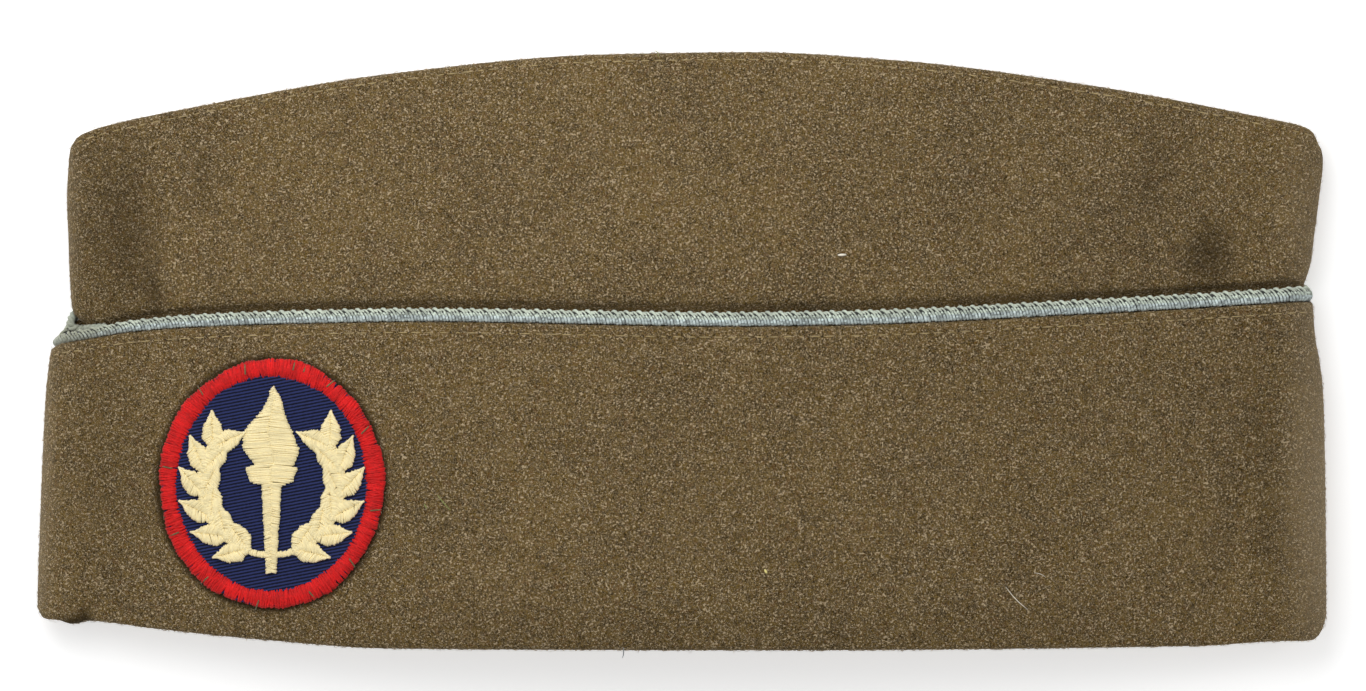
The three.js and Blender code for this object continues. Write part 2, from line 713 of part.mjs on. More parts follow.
function piece(name, geometry, finish) {
  const mesh = new THREE.Mesh(geometry, new THREE.MeshStandardMaterial(finish));
  mesh.name = name;
  return mesh;
}

const cap = new THREE.Group();
cap.add(
  piece("curtain_right", curtain("right"), WOOL_SHADED),
  piece("crown_right", crownPanel("right"), WOOL_SHADED),
  piece("crown_gusset", gusset(), WOOL_SHADED),
  piece("crown_left", crownPanel("left"), WOOL),
  piece("curtain_left", curtain("left"), WOOL),
  piece("edge_piping", piping(), BRAID),
  piece("patch_ground", patchGround(), NAVY_TWILL),
  piece("patch_border", patchBorder(), RED_THREAD),
  piece("patch_emblem", patchEmblem(), CREAM_THREAD),
);

export default cap;
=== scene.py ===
import math

import bpy
import numpy as np
from bpy.props import FloatProperty, FloatVectorProperty, IntProperty, PointerProperty
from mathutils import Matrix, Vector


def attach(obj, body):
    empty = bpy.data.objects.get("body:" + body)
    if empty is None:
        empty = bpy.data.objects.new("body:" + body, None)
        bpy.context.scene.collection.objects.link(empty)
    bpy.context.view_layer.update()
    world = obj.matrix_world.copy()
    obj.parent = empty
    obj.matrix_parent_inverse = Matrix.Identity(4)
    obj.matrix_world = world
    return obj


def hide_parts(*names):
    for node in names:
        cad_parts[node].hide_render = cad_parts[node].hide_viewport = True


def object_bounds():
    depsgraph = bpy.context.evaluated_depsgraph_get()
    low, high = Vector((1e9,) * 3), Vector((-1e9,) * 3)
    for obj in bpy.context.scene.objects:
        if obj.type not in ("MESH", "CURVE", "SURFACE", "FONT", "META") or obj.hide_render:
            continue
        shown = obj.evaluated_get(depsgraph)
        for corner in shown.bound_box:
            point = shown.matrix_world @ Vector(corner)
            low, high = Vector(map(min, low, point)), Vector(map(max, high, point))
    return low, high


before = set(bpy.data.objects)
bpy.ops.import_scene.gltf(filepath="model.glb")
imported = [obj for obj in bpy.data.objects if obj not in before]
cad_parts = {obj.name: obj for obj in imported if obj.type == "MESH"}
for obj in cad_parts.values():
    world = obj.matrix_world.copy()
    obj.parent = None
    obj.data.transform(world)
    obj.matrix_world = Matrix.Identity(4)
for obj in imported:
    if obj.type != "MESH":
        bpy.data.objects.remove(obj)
CAD_LOW, CAD_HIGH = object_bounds()

bl_info = {
    "name": "Garrison Cap",
    "version": (1, 0, 0),
    "blender": (4, 5, 0),
    "location": "View3D > Sidebar > Cap",
    "description": "Wool garrison cap with a braided edge and a round embroidered patch, lying flat",
    "category": "Object",
}

# Lengths are in millimetres until a mesh is made
MM = 0.001

# Seeds of the random draws
SEEDS = {
    "topstitch": 41,
    "edge stitch": 42,
    "yarns": 41,
    "yarn tones": 44,
    "strands": 46,
    "border": 50,
    "border tones": 51,
    "emblem": 58,
    "emblem tones": 59,
    "tacks": 64,
    "crown nap": 72,
    "curtain nap": 74,
}

LENGTH = 292.0
HEIGHT = 135.0
RIM_THICKNESS = 27.0
RIDGE_GAP = 2.9
END_ROOM = 5.1
FOLD_ROOM = 2.0
CROWN_CLOTH = 2.0
CURTAIN_CLOTH = 2.4
GUSSET_CLOTH = 2.0
PLY_GAP = 0.3
SEAM_GAP = 0.3
EDGE_EASE = 0.5
RIM_ROUND = 1.2
RIDGE_ROUND = 1.4
RIDGE_LIP = 2.5
CREASE_GAP = 0.4
CREASE_FLAT = 0.4
GUSSET_DEPTH = 34.0
GUSSET_TAPER = 0.8
CROWN_SWELL = 1.0
RIGHT_RIDGE_DROP = 0.8
CORNER_ROOM = 1.6
ARCH_EASE = 0.04
PIPING_LEVEL = 0.55
CORNER_LEVEL = 0.85

PIPING_HEIGHT = 3.2
PIPING_DEPTH = 2.5

PATCH_WIDTH = 50.5
PATCH_HEIGHT = 55.7
PATCH_FROM_FRONT = 53.5
PATCH_FROM_RIM = 37.5
PATCH_CLOTH = 1.0
BORDER_WIDTH = 3.7
BORDER_THICKNESS = 1.8
EMBLEM_THICKNESS = 1.0
EMBLEM_SHARE = 0.78

# Where one ply lies on the next
CROWN_INSET = CURTAIN_CLOTH + PLY_GAP
LIP_DEPTH = CROWN_CLOTH + PLY_GAP + GUSSET_CLOTH
LIP_INSET = CROWN_INSET + LIP_DEPTH
FOOT_INSET = CROWN_INSET + CROWN_CLOTH
FOLD_REACH = LIP_INSET + FOLD_ROOM
RIM_END = 2 * FOOT_INSET + END_ROOM
RIM_SEAM = FOOT_INSET + 0.3 * END_ROOM
RIDGE_END = CROWN_INSET + 2 * LIP_DEPTH + CREASE_GAP
RIDGE_SEAM = LIP_DEPTH + CREASE_GAP / 2
RIDGE_MIDDLE = CROWN_INSET + 2 * LIP_DEPTH + RIDGE_GAP
PATCH_X = -LENGTH / 2 + PATCH_FROM_FRONT
PATCH_Y = -HEIGHT / 2 + PATCH_FROM_RIM

# Outlines, in shares of the cap's length and height
RIDGE_LINE = {
    "at": (.0256, .029, .035, .126, .281, .436, .553, .669, .824, .964, .985, .991, .9946),
    "height": (.848, .859, .8655, .91, .966, .996, 1, .986, .942, .885, .875, .868, .848),
}
RIM_LINE = {
    "at": (0, .004, .016, .026, .033, .04, .0876, .165, .28, .59, .9, .96, .99, .9953, 1),
    "height": (
        .062, .05, .0485, .0425, .0435, .0475, .036, .019, .0025, .0005, .0059, .0134, .0145, .0227, .048,
    ),
}
PIPING_LINE = {
    "left": {
        "at": (
            .0116, .0177, .0255, .0332, .0487, .0642, .076, .13, .2,
            .3, .36, .436, .53, .623, .809, .88, .979,
        ),
        "height": (
            .5135, .5204, .5243, .5265, .5322, .5386, .5423, .5515, .5568,
            .5605, .5592, .5561, .5533, .5555, .5737, .582, .5953,
        ),
    },
    "right": {
        "at": (.0116, .019, .028, .045, .2, .53, .809, .979),
        "height": (.5126, .53, .562, .575, .572, .56, .5748, .597),
    },
}
BRAID_FULLNESS = {
    "at": (.012, .05, .076, .13, .2, .36, .53, .98),
    "full": (.68, .72, .78, .88, .92, .94, 1, 1.04),
}
CURTAIN_OUTLINE = {
    "height": (.1, .28, .42, .485, .52, .6),
    "front": (0, .0031, .0062, .0093, .0125, .014),
    "back": (0, .0008, .0023, .0054, .0085, .0112),
}
CROWN_OUTLINE = {
    "height": (.5, .545, .552, .56, .571, .612, .63, .652, .69, .755, .82, .85),
    "front": (.031, .038, .0325, .0287, .0268, .0252, .0247, .0243, .0237, .0225, .024, .0258),
    "back": (.0206, .0206, .0206, .0206, .0206, .0172, .0142, .0116, .0094, .0054, .0023, .005),
}
FULLNESS = {
    "height": (0, .3, .55, .75, .9, 1),
    "full": (1, .95, .84, .52, .21, 0),
}
FRONT_TUCK = (.47, .55)
BACK_TUCK = (.55, .6)
RIGHT_SAG = (.615, .8)
SEAM_DROP = (.55, .84)

# Dents: place and reach in shares of the cap, turn in degrees, depth in shares of its thickness
DENTS = {
    "front crown valley": {"at": .078, "height": .67, "along": .015, "up": .12, "turn": 4, "depth": .08},
    "back crown dimple": {"at": .911, "height": .655, "along": .02, "up": .06, "turn": -20, "depth": .1},
    "front rim fold": {"at": .0395, "height": .045, "along": .0055, "up": .03, "turn": 8, "depth": .04},
    "back crown dip": {"at": .868, "height": .79, "along": .016, "up": .07, "turn": -14, "depth": .045},
    "back curtain valley": {"at": .93, "height": .24, "along": .014, "up": .2, "turn": -9, "depth": .05},
    "back curtain swell": {"at": .785, "height": .12, "along": .05, "up": .09, "turn": 0, "depth": -.022},
    "middle curtain dip": {"at": .7, "height": .38, "along": .04, "up": .12, "turn": 25, "depth": .018},
}

# Painted shade in the valleys, creases, dimples and folds and along the rim: place in shares, half sizes in
# mm, turn in degrees, and how much at most
PAINTED_SHADE_SPOTS = {
    "front crown valley": {"at": .071, "height": .7, "along": 11, "up": 34, "turn": 4, "most": .42},
    "front crown crease": {"at": .0915, "height": .595, "along": 3.5, "up": 8, "turn": 10, "most": .5},
    "front crown dip": {"at": .129, "height": .79, "along": 5, "up": 14, "most": .25},
    "back crown dimple": {"at": .911, "height": .655, "along": 9, "up": 12, "turn": -20, "most": .6},
    "back crown dip": {"at": .868, "height": .79, "along": 8, "up": 16, "turn": -14, "most": .2},
    "front rim fold": {"at": .0375, "height": .055, "along": 3, "up": 4, "turn": 8, "most": .75},
    "front rim edge": {"at": .03, "height": .046, "along": 6.5, "up": 2.8, "most": .85},
    "back curtain fold": {"at": .955, "height": .27, "along": 9, "up": 50, "most": .2},
    "front end of the crown": {"at": .04, "height": .69, "along": 10, "up": 34, "most": .25},
    "front curtain fold": {"at": .055, "height": .3, "along": 16, "up": 50, "most": .18},
    "cloth along the rim": {"at": .5, "height": .02, "along": 170, "up": 14, "most": .22},
}
# Painted sheen, lighter towards the folded ends, in the same terms
PAINTED_SHEEN_SPOTS = {
    "back end of the curtain": {"at": .998, "height": .27, "along": 13, "up": 70, "most": .34},
    "back end of the crown": {"at": .99, "height": .7, "along": 12, "up": 40, "most": .15},
    "front end of the curtain": {"at": 0, "height": .3, "along": 6, "up": 60, "most": .2},
    "front end of the crown": {"at": .022, "height": .7, "along": 5, "up": 40, "most": .12},
}
# Painted shadow of the patch on the cloth close round it, with a crisp edge
PATCH_SHADE_REACH = 2.35
PAINTED_PATCH_SHADOW = {
    "at": PATCH_FROM_FRONT / LENGTH,
    "height": PATCH_FROM_RIM / HEIGHT,
    "along": PATCH_WIDTH / 2 + PATCH_SHADE_REACH,
    "up": PATCH_HEIGHT / 2 + PATCH_SHADE_REACH,
    "most": .85,
    "edge": .07,
}
# Handling has dulled the braid at the front corner
DULL_BRAID = {"at": .02, "height": .518, "along": 20, "up": 11, "turn": 20, "most": .75}


def lerp(a, b, t):
    return a + (b - a) * t


def smoothstep(x, low, high):
    t = np.clip((x - low) / (high - low), 0, 1)
    return t * t * (3 - 2 * t)


def curve_through(table, key, value, at):
    """Smooth curve through a table's rows that never swings past them."""
    x = np.array(table[key], float)
    y = np.array(table[value], float)
    secant = np.diff(y) / np.diff(x)
    before, after = secant[:-1], secant[1:]
    same_way = before * after > 0
    total = np.where(same_way, before + after, 1)
    slope = np.concatenate((secant[:1], np.where(same_way, 2 * before * after / total, 0), secant[-1:]))
    at = np.clip(at, x[0], x[-1])
    i = np.clip(np.searchsorted(x, at, side="left") - 1, 0, len(x) - 2)
    step = x[i + 1] - x[i]
    t = (at - x[i]) / step
    swing = t * (1 - t) * ((1 - t) * slope[i] - t * slope[i + 1]) * step
    return lerp(y[i], y[i + 1], t * t * (3 - 2 * t)) + swing


def share_of_length(x):
    return x / LENGTH + 0.5


def share_of_height(y):
    return y / HEIGHT + 0.5


def length_from(share):
    return (share - 0.5) * LENGTH


def height_from(share):
    return (share - 0.5) * HEIGHT


def ridge_at(x):
    return height_from(curve_through(RIDGE_LINE, "at", "height", share_of_length(x)))


def rim_at(x):
    return height_from(curve_through(RIM_LINE, "at", "height", share_of_length(x)))


def curtain_outline(y):
    height = share_of_height(y)
    front = -LENGTH / 2 + LENGTH * curve_through(CURTAIN_OUTLINE, "height", "front", height)
    back = LENGTH / 2 - LENGTH * curve_through(CURTAIN_OUTLINE, "height", "back", height)
    return front, back


def crown_outline(y):
    """The crown follows the curtain where it is hidden, and its own outline above the braid."""
    height = share_of_height(y)
    hidden_front, hidden_back = curtain_outline(y)
    shown_front = LENGTH * curve_through(CROWN_OUTLINE, "height", "front", height) - CROWN_INSET
    shown_back = LENGTH * curve_through(CROWN_OUTLINE, "height", "back", height) - CROWN_INSET
    front = lerp(hidden_front, -LENGTH / 2 + shown_front, smoothstep(height, *FRONT_TUCK))
    back = lerp(hidden_back, LENGTH / 2 - shown_back, smoothstep(height, *BACK_TUCK))
    return front, back


def dent_depth(x, y):
    depth = 0
    for dent in DENTS.values():
        angle = math.radians(dent["turn"])
        dx = x - length_from(dent["at"])
        dy = y - height_from(dent["height"])
        across = (dx * math.cos(angle) + dy * math.sin(angle)) / (dent["along"] * LENGTH)
        rise = (dy * math.cos(angle) - dx * math.sin(angle)) / (dent["up"] * HEIGHT)
        depth = depth + dent["depth"] * RIM_THICKNESS * np.exp(-across ** 2 - rise ** 2)
    return depth


def waves(x, y, seed, shortest, longest, count=14):
    """Gentle unevenness made of crossing ripples, about -1 to 1."""
    rng = np.random.default_rng(seed)
    total = 0
    for _ in range(count):
        length = rng.uniform(shortest, longest)
        angle, phase = rng.uniform(0, 2 * math.pi, 2)
        way = x * math.cos(angle) + y * math.sin(angle)
        total = total + np.sin(2 * math.pi * way / length + phase)
    return total / math.sqrt(count)


CLOTH_WAVES = (
    {"seed": 3, "shortest": 30, "longest": 70, "height": 0.22},
    {"seed": 8, "shortest": 9, "longest": 20, "height": 0.05},
)


def cloth_relief(x, y):
    """Lie of the cloth itself, which every ply on the upper side shares."""
    return sum(
        wave["height"] * waves(x, y, wave["seed"], wave["shortest"], wave["longest"])
        for wave in CLOTH_WAVES
    )


def seam_height(y):
    return lerp(RIM_SEAM, RIDGE_SEAM, smoothstep(share_of_height(y), *SEAM_DROP))


def arch_at(share):
    inward = np.minimum(share, 1 - share)
    eased = inward - ARCH_EASE * (1 - np.exp(-inward / ARCH_EASE))
    return 4 * eased * (1 - eased)


def left_face(share, x, y):
    way_up = np.clip((y + HEIGHT / 2) / (ridge_at(x) + HEIGHT / 2), 0, 1)
    full = curve_through(FULLNESS, "height", "full", way_up)
    end = lerp(RIDGE_END, RIM_END, full)
    middle = lerp(RIDGE_MIDDLE, RIM_THICKNESS, full)
    return lerp(end, middle, arch_at(share)) - dent_depth(x, y) + cloth_relief(x, y) * arch_at(share) ** 0.5


def right_face(y):
    return -CROWN_INSET * smoothstep(share_of_height(y), *RIGHT_SAG)


class Columns:
    """Columns of a side, from the front fold to the back one."""

    def __init__(self, step, fold_steps):
        main = round((LENGTH - 2 * FOLD_REACH) / step)
        turn = np.arange(fold_steps) / fold_steps * math.pi / 2
        flat = np.full(main + 1, math.pi / 2)
        self.end = np.repeat((-1, 0, 1), (fold_steps, main + 1, fold_steps))[:, None]
        self.angle = np.concatenate((turn, flat, turn[::-1]))[:, None]
        self.share = np.concatenate((turn * 0, np.linspace(0, 1, main + 1), turn * 0 + 1))[:, None]

    def x(self, y, outline, inset=0.0):
        front, back = outline(y)
        main = lerp(front + FOLD_REACH, back - FOLD_REACH, self.share)
        return main + self.end * (FOLD_REACH - inset) * np.cos(self.angle)


def ply_points(side, columns, y, inset, outline, seam_gap=SEAM_GAP, swell=0.0):
    """Points of a ply: the left side faces up, the right one lies on the floor."""
    x = columns.x(y, outline, inset)
    up = 1 if side == "left" else -1
    face = left_face(columns.share, x, y) + swell if side == "left" else right_face(y)
    start = seam_height(y) + up * seam_gap / 2
    z = start + up * (up * (face - start) - inset) * np.sin(columns.angle)
    return np.stack(np.broadcast_arrays(x, y, z), axis=-1)


def side_level(x, y, outline, inset):
    """Height above the floor of the side that faces up, at any place on it."""
    front, back = outline(y)
    share = np.clip((x - front - FOLD_REACH) / (back - front - 2 * FOLD_REACH), 0, 1)
    beyond = np.maximum(front + FOLD_REACH - x, x - back + FOLD_REACH)
    turned = np.clip(beyond / (FOLD_REACH - inset), 0, 1)
    start = seam_height(y)
    return start + (left_face(share, x, y) - inset - start) * np.sqrt(1 - turned ** 2)


def piping_height(side, columns):
    x = columns.x(np.full_like(columns.share, height_from(PIPING_LEVEL)), curtain_outline)
    return height_from(curve_through(PIPING_LINE[side], "at", "height", share_of_length(x)))


def braid_half(x):
    """Half the braid's height, which is less near the front."""
    return PIPING_HEIGHT / 2 * curve_through(BRAID_FULLNESS, "at", "full", share_of_length(x))


def edge_half(columns):
    """Room from the braid's middle to the cloth above and below it."""
    x = columns.x(np.full_like(columns.share, height_from(PIPING_LEVEL)), curtain_outline)
    return braid_half(x) + PLY_GAP


def tuck_height(side, columns):
    return piping_height(side, columns) + edge_half(columns)


def rim_height(columns):
    return rim_at(columns.x(np.full_like(columns.share, -HEIGHT / 2), curtain_outline))


def ridge_height(side, columns):
    level = np.full_like(columns.share, height_from(CORNER_LEVEL))
    drop = 0 if side == "left" else RIGHT_RIDGE_DROP
    return ridge_at(columns.x(level, crown_outline, CROWN_INSET)) - drop


# Mesh making


def unit(vectors):
    return vectors / np.linalg.norm(vectors, axis=-1, keepdims=True)


def straight_up(paths):
    """Upward directions, one for each point of some paths."""
    up = np.zeros_like(paths)
    up[..., 2] = 1
    return up


def reach_along(line):
    """How far along a line each of its points is."""
    gaps = np.linalg.norm(np.diff(line, axis=0), axis=1)
    return np.concatenate(([0], np.cumsum(gaps)))


def on_line(line, reach, at):
    """Values on a line at some places along it."""
    return np.stack([np.interp(at, reach, line[:, axis]) for axis in range(3)], axis=-1)


def ripples(angle, rows):
    """Unevenness round an edge: each row has a size, how often it comes and where it starts."""
    return sum(row["size"] * np.sin(row["times"] * angle + row["start"]) for row in rows)


def mesh_object(name, points, faces, finishes, face_finish=None):
    """Object from points in millimetres and faces, smooth shaded."""
    mesh = bpy.data.meshes.new(name)
    mesh.from_pydata((np.asarray(points) * MM).tolist(), [], faces)
    mesh.validate()
    mesh.update()
    mesh.shade_smooth()
    for finish in finishes:
        mesh.materials.append(finish)
    if face_finish is not None:
        mesh.polygons.foreach_set("material_index", np.asarray(face_finish, np.int32))
    piece = bpy.data.objects.new(name, mesh)
    bpy.context.scene.collection.objects.link(piece)
    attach(piece, "root")
    return piece


def skin(outer, inner, closes_on_itself=False):
    """Points and quads round a row of sections, each an outer and an inner rail."""
    ring = np.concatenate((outer, inner[:, ::-1]), axis=1)
    count, size = ring.shape[:2]
    spans = count if closes_on_itself else count - 1
    here = np.arange(spans)[:, None] * size
    after = (np.arange(spans)[:, None] + 1) % count * size
    j = np.arange(size)[None]
    k = (j + 1) % size
    quads = np.stack((here + j, here + k, after + k, after + j), axis=-1).reshape(-1, 4)
    faces = quads.tolist()
    if not closes_on_itself:
        last = (count - 1) * size
        for i in range(size // 2 - 1):
            across = size - 1 - i
            faces.append([i, across, across - 1, i + 1])
            faces.append([last + i, last + i + 1, last + across - 1, last + across])
    return ring.reshape(-1, 3), outward(ring.reshape(-1, 3), faces)


def outward(points, faces):
    """The faces, turned so that they point out of the closed mesh."""
    corners = points[np.array(faces)]
    a, b, c, d = (corners[:, i] for i in range(4))
    volume = (a * np.cross(b, c)).sum() + (a * np.cross(c, d)).sum()
    return faces if volume > 0 else [face[::-1] for face in faces]


def threads(paths, up, half_width, half_height, sides):
    """Closed strands along paths. Shapes: paths and up (n, steps, 3), halves (n, steps)."""
    along = unit(np.gradient(paths, axis=1))
    side = unit(np.cross(along, up))
    top = np.cross(side, along)
    turn = np.arange(sides) / sides * 2 * math.pi
    wide = half_width[..., None, None] * side[:, :, None] * np.cos(turn)[None, None, :, None]
    tall = half_height[..., None, None] * top[:, :, None] * np.sin(turn)[None, None, :, None]
    rings = paths[:, :, None] + wide + tall
    count, steps = rings.shape[:2]
    first = np.arange(count)[:, None, None] * steps * sides
    ring = np.arange(steps - 1)[None, :, None] * sides
    j = np.arange(sides)[None, None]
    k = (j + 1) % sides
    quads = np.stack(np.broadcast_arrays(
        first + ring + j, first + ring + k, first + ring + sides + k, first + ring + sides + j,
    ), axis=-1)
    faces = quads.reshape(-1, 4).tolist()
    for i in range(count):
        base = i * steps * sides
        tip = base + (steps - 1) * sides
        faces.append(list(range(base + sides - 1, base - 1, -1)))
        faces.append(list(range(tip, tip + sides)))
    return rings.reshape(-1, 3), faces


def joined(parts):
    """Several point and face lists as one."""
    points, faces, start = [], [], 0
    for part_points, part_faces in parts:
        points.append(part_points)
        faces.extend([corner + start for corner in face] for face in part_faces)
        start += len(part_points)
    return np.concatenate(points), faces


# Finishes


class Value:
    """A socket in a finish. Arithmetic on it adds Math nodes."""

    def __init__(self, finish, socket):
        self.finish = finish
        self.socket = socket

    def math(self, operation, first, second):
        return self.finish.node("ShaderNodeMath", {"operation": operation}, {0: first, 1: second})

    def __add__(self, other):
        return self.math("ADD", self, other)

    def __radd__(self, other):
        return self.math("ADD", other, self)

    def __sub__(self, other):
        return self.math("SUBTRACT", self, other)

    def __rsub__(self, other):
        return self.math("SUBTRACT", other, self)

    def __mul__(self, other):
        return self.math("MULTIPLY", self, other)

    def __rmul__(self, other):
        return self.math("MULTIPLY", other, self)


CLOTH_SPECULAR = 0.25


class Finish:
    """A material in the making, with its Principled shader."""

    def __init__(self, name, roughness, sheen=0.0, sheen_tint=(1, 1, 1, 1)):
        self.material = bpy.data.materials.new(name)
        self.material.use_nodes = True
        self.tree = self.material.node_tree
        self.shader = self.tree.nodes["Principled BSDF"]
        self.shader.inputs["Roughness"].default_value = roughness
        self.shader.inputs["Sheen Weight"].default_value = sheen
        self.shader.inputs["Sheen Tint"].default_value = sheen_tint
        self.shader.inputs["Specular IOR Level"].default_value = CLOTH_SPECULAR
        place = self.node("ShaderNodeTexCoord", output="Object")
        self.place = self.node("ShaderNodeVectorMath", {"operation": "SCALE"}, {0: place, "Scale": 1 / MM})

    def node(self, kind, settings=None, sockets=None, output=0):
        made = self.tree.nodes.new(kind)
        for key, value in (settings or {}).items():
            setattr(made, key, value)
        for key, value in (sockets or {}).items():
            if isinstance(value, Value):
                self.tree.links.new(value.socket, made.inputs[key])
            else:
                made.inputs[key].default_value = value
        return Value(self, made.outputs[output])

    def noise(self, size, detail=2.0, roughness=0.5, distortion=0.0, shift=0.0):
        """Noise whose features are about size millimetres across."""
        moved = self.node("ShaderNodeVectorMath", {"operation": "ADD"}, {0: self.place, 1: (shift,) * 3})
        return self.node("ShaderNodeTexNoise", None, {
            "Vector": moved, "Scale": 1 / size, "Detail": detail,
            "Roughness": roughness, "Distortion": distortion,
        })

    def between(self, value, low, high):
        """0 below low, 1 above high, and smooth between."""
        return self.node("ShaderNodeMapRange", {"interpolation_type": "SMOOTHSTEP"}, {
            "Value": value, "From Min": low, "From Max": high,
        })

    def mix(self, factor, first, second):
        return self.node("ShaderNodeMix", {"data_type": "RGBA"}, {0: factor, 6: first, 7: second}, 2)

    def fibres(self, size, width, shift):
        """Thin curly lines, where a noise crosses its middle value."""
        field = self.noise(size, detail=1.5, distortion=0.8, shift=shift)
        off = self.node("ShaderNodeMath", {"operation": "ABSOLUTE"}, {0: field - 0.5})
        return 1 - self.between(off, 0.0, width)

    def flecks(self, ground, color, size, shift, shows, covers):
        """The ground with flecks of a colour, where a noise is high."""
        where = self.between(self.noise(size, detail=1, shift=shift), *shows)
        return self.mix(covers * where, ground, color)

    def spot(self, at, height, along, up, most, turn=0, edge=1.0):
        """Most at a place on the cap, and 0 outside an oval round it."""
        placed = self.node("ShaderNodeMapping", {"vector_type": "TEXTURE"}, {
            "Vector": self.place, "Location": (length_from(at), height_from(height), RIM_THICKNESS / 2),
            "Rotation": (0, 0, math.radians(turn)), "Scale": (along, up, 2 * RIM_THICKNESS),
        })
        inside = self.node("ShaderNodeTexGradient", {"gradient_type": "SPHERICAL"}, {"Vector": placed}, 1)
        return most * self.between(inside, 0.0, edge)

    def finish(self, color, height, strength, distance):
        """The material, with its colour and a relief some millimetres deep."""
        bump = self.node("ShaderNodeBump", None, {
            "Strength": strength, "Distance": distance * MM, "Height": height,
        })
        self.tree.links.new(color.socket, self.shader.inputs["Base Color"])
        self.tree.links.new(bump.socket, self.shader.inputs["Normal"])
        return self.material


def shade(color, factor):
    return tuple(channel * factor for channel in color[:3]) + (1.0,)


WOOL_ROUGHNESS = 0.95
WOOL_SHEEN = 0.06
WOOL_SHEEN_TINT = (0.8, 0.7, 0.42, 1)
WOOL_NOISE = {
    "cloud": {"size": 22, "detail": 2},
    "mottle": {"size": 2.6, "detail": 2, "roughness": 0.6, "shift": 31},
    "grain": {"size": 0.56, "detail": 3, "roughness": 0.75, "distortion": 0.6, "shift": 7},
    "fine": {"size": 0.3, "detail": 1, "shift": 43},
    "broken": {"size": 0.5, "detail": 1, "shift": 91},
}
# The last noise decides where the coarser curls lie and where the finer ones do
BROKEN_RANGE = (0.43, 0.57)
# How much each noise counts in the wool's tone and in its relief
WOOL_TONE = {"cloud": 0.1, "mottle": 0.16, "grain": 0.46, "fine": 0.28}
WOOL_RELIEF = {"grain": 0.5, "curls": 0.35, "fine": 0.25}
TONE_RANGE = (0.44, 0.56)
# Flecks: size in mm, the noise at which they start and are full, and how much they cover
RUST_FLECKS = {"size": 1.1, "shift": 23, "shows": (0.56, 0.66), "covers": 0.45}
PEPPER_FLECKS = {"size": 0.5, "shift": 55, "shows": (0.58, 0.68), "covers": 0.62}
LIGHT_FLECKS = {"size": 0.46, "shift": 67, "shows": (0.6, 0.67), "covers": 0.84}
WOOL_CURLS = {"size": 0.5, "width": 0.05, "shift": 13}
FINER_CURLS = {"size": 0.38, "width": 0.045, "shift": 73}
CURLS_COVER, FINER_COVER = 0.9, 0.6
PEPPER_SHADE = 0.35
LIGHT_FLECK_SHADE = 1.15
# Tone of the painted shade and of the patch's painted shadow, as a share of the wool's dark tone
PAINTED_SHADE_TONE = 0.6
NAP_DEPTH = 0.45
UPPER_SIDE = (0.4 * RIM_THICKNESS, 0.5 * RIM_THICKNESS)


def weighted(values, weights):
    return sum(weight * values[name] for name, weight in weights.items())


def wool_finish(settings, name, paint_patch_shadow=False):
    """Fulled wool: mottled ground, salt and pepper grain and light curly fibres, with painted shade, painted
    sheen and, where asked, the patch's painted shadow.
    """
    wool = Finish(name, WOOL_ROUGHNESS, sheen=WOOL_SHEEN, sheen_tint=WOOL_SHEEN_TINT)
    noises = {key: wool.noise(**row) for key, row in WOOL_NOISE.items()}
    body = wool.between(weighted(noises, WOOL_TONE), *TONE_RANGE)
    color = wool.mix(body, settings.wool_dark, settings.wool_light)
    color = wool.flecks(color, settings.wool_rust, **RUST_FLECKS)
    color = wool.flecks(color, shade(settings.wool_dark, PEPPER_SHADE), **PEPPER_FLECKS)
    broken = wool.between(noises["broken"], *BROKEN_RANGE)
    noises["curls"] = wool.fibres(**WOOL_CURLS) * broken
    finer = wool.fibres(**FINER_CURLS) * (1 - broken)
    color = wool.mix(CURLS_COVER * noises["curls"] + FINER_COVER * finer, color, settings.wool_fibre)
    color = wool.flecks(color, shade(settings.wool_fibre, LIGHT_FLECK_SHADE), **LIGHT_FLECKS)
    # Painted shade in the dents, creases and folds and along the rim
    for place in PAINTED_SHADE_SPOTS.values():
        color = wool.mix(wool.spot(**place), color, shade(settings.wool_dark, PAINTED_SHADE_TONE))
    # Painted sheen at the folded ends, in the colour of the light fibres
    for place in PAINTED_SHEEN_SPOTS.values():
        color = wool.mix(wool.spot(**place), color, settings.wool_fibre)
    # Painted shadow of the patch, only on the curtain's upper side
    if paint_patch_shadow:
        level = wool.node("ShaderNodeSeparateXYZ", None, {0: wool.place}, 2)
        upper = wool.between(level, *UPPER_SIDE)
        color = wool.mix(upper * wool.spot(**PAINTED_PATCH_SHADOW), color, shade(settings.wool_dark, PAINTED_SHADE_TONE))
    return wool.finish(color, weighted(noises, WOOL_RELIEF), settings.wool_bump, NAP_DEPTH)


THREAD_TONE_RANGE = (0.34, 0.66)
THREAD_BUMP = 0.35
THREAD_DEPTH = 0.12
FIBRE_ROUGHNESS = 0.9
# Painted shade in the needle holes, as a share of the wool's dark tone
PIT_SHADE = 0.5


def thread_finish(name, color, vary=0.25, roughness=0.5, sheen=0.3, size=0.5, dull=None):
    """Spun thread that varies in tone, with features of one size in mm."""
    thread = Finish(name, roughness, sheen=sheen)
    tone = thread.noise(size, detail=2, roughness=0.6)
    slow = thread.noise(6 * size, detail=2, shift=19)
    body = thread.between(0.5 * tone + 0.5 * slow, *THREAD_TONE_RANGE)
    made = thread.mix(body, shade(color, 1 - vary), shade(color, 1 + vary))
    if dull:
        made = thread.mix(thread.spot(**DULL_BRAID), made, dull)
    return thread.finish(made, thread.noise(0.25 * size, detail=2), THREAD_BUMP, THREAD_DEPTH)


def pit_finish(name, settings):
    """Painted shade of the needle marks."""
    return thread_finish(name, shade(settings.wool_dark, PIT_SHADE), roughness=FIBRE_ROUGHNESS)


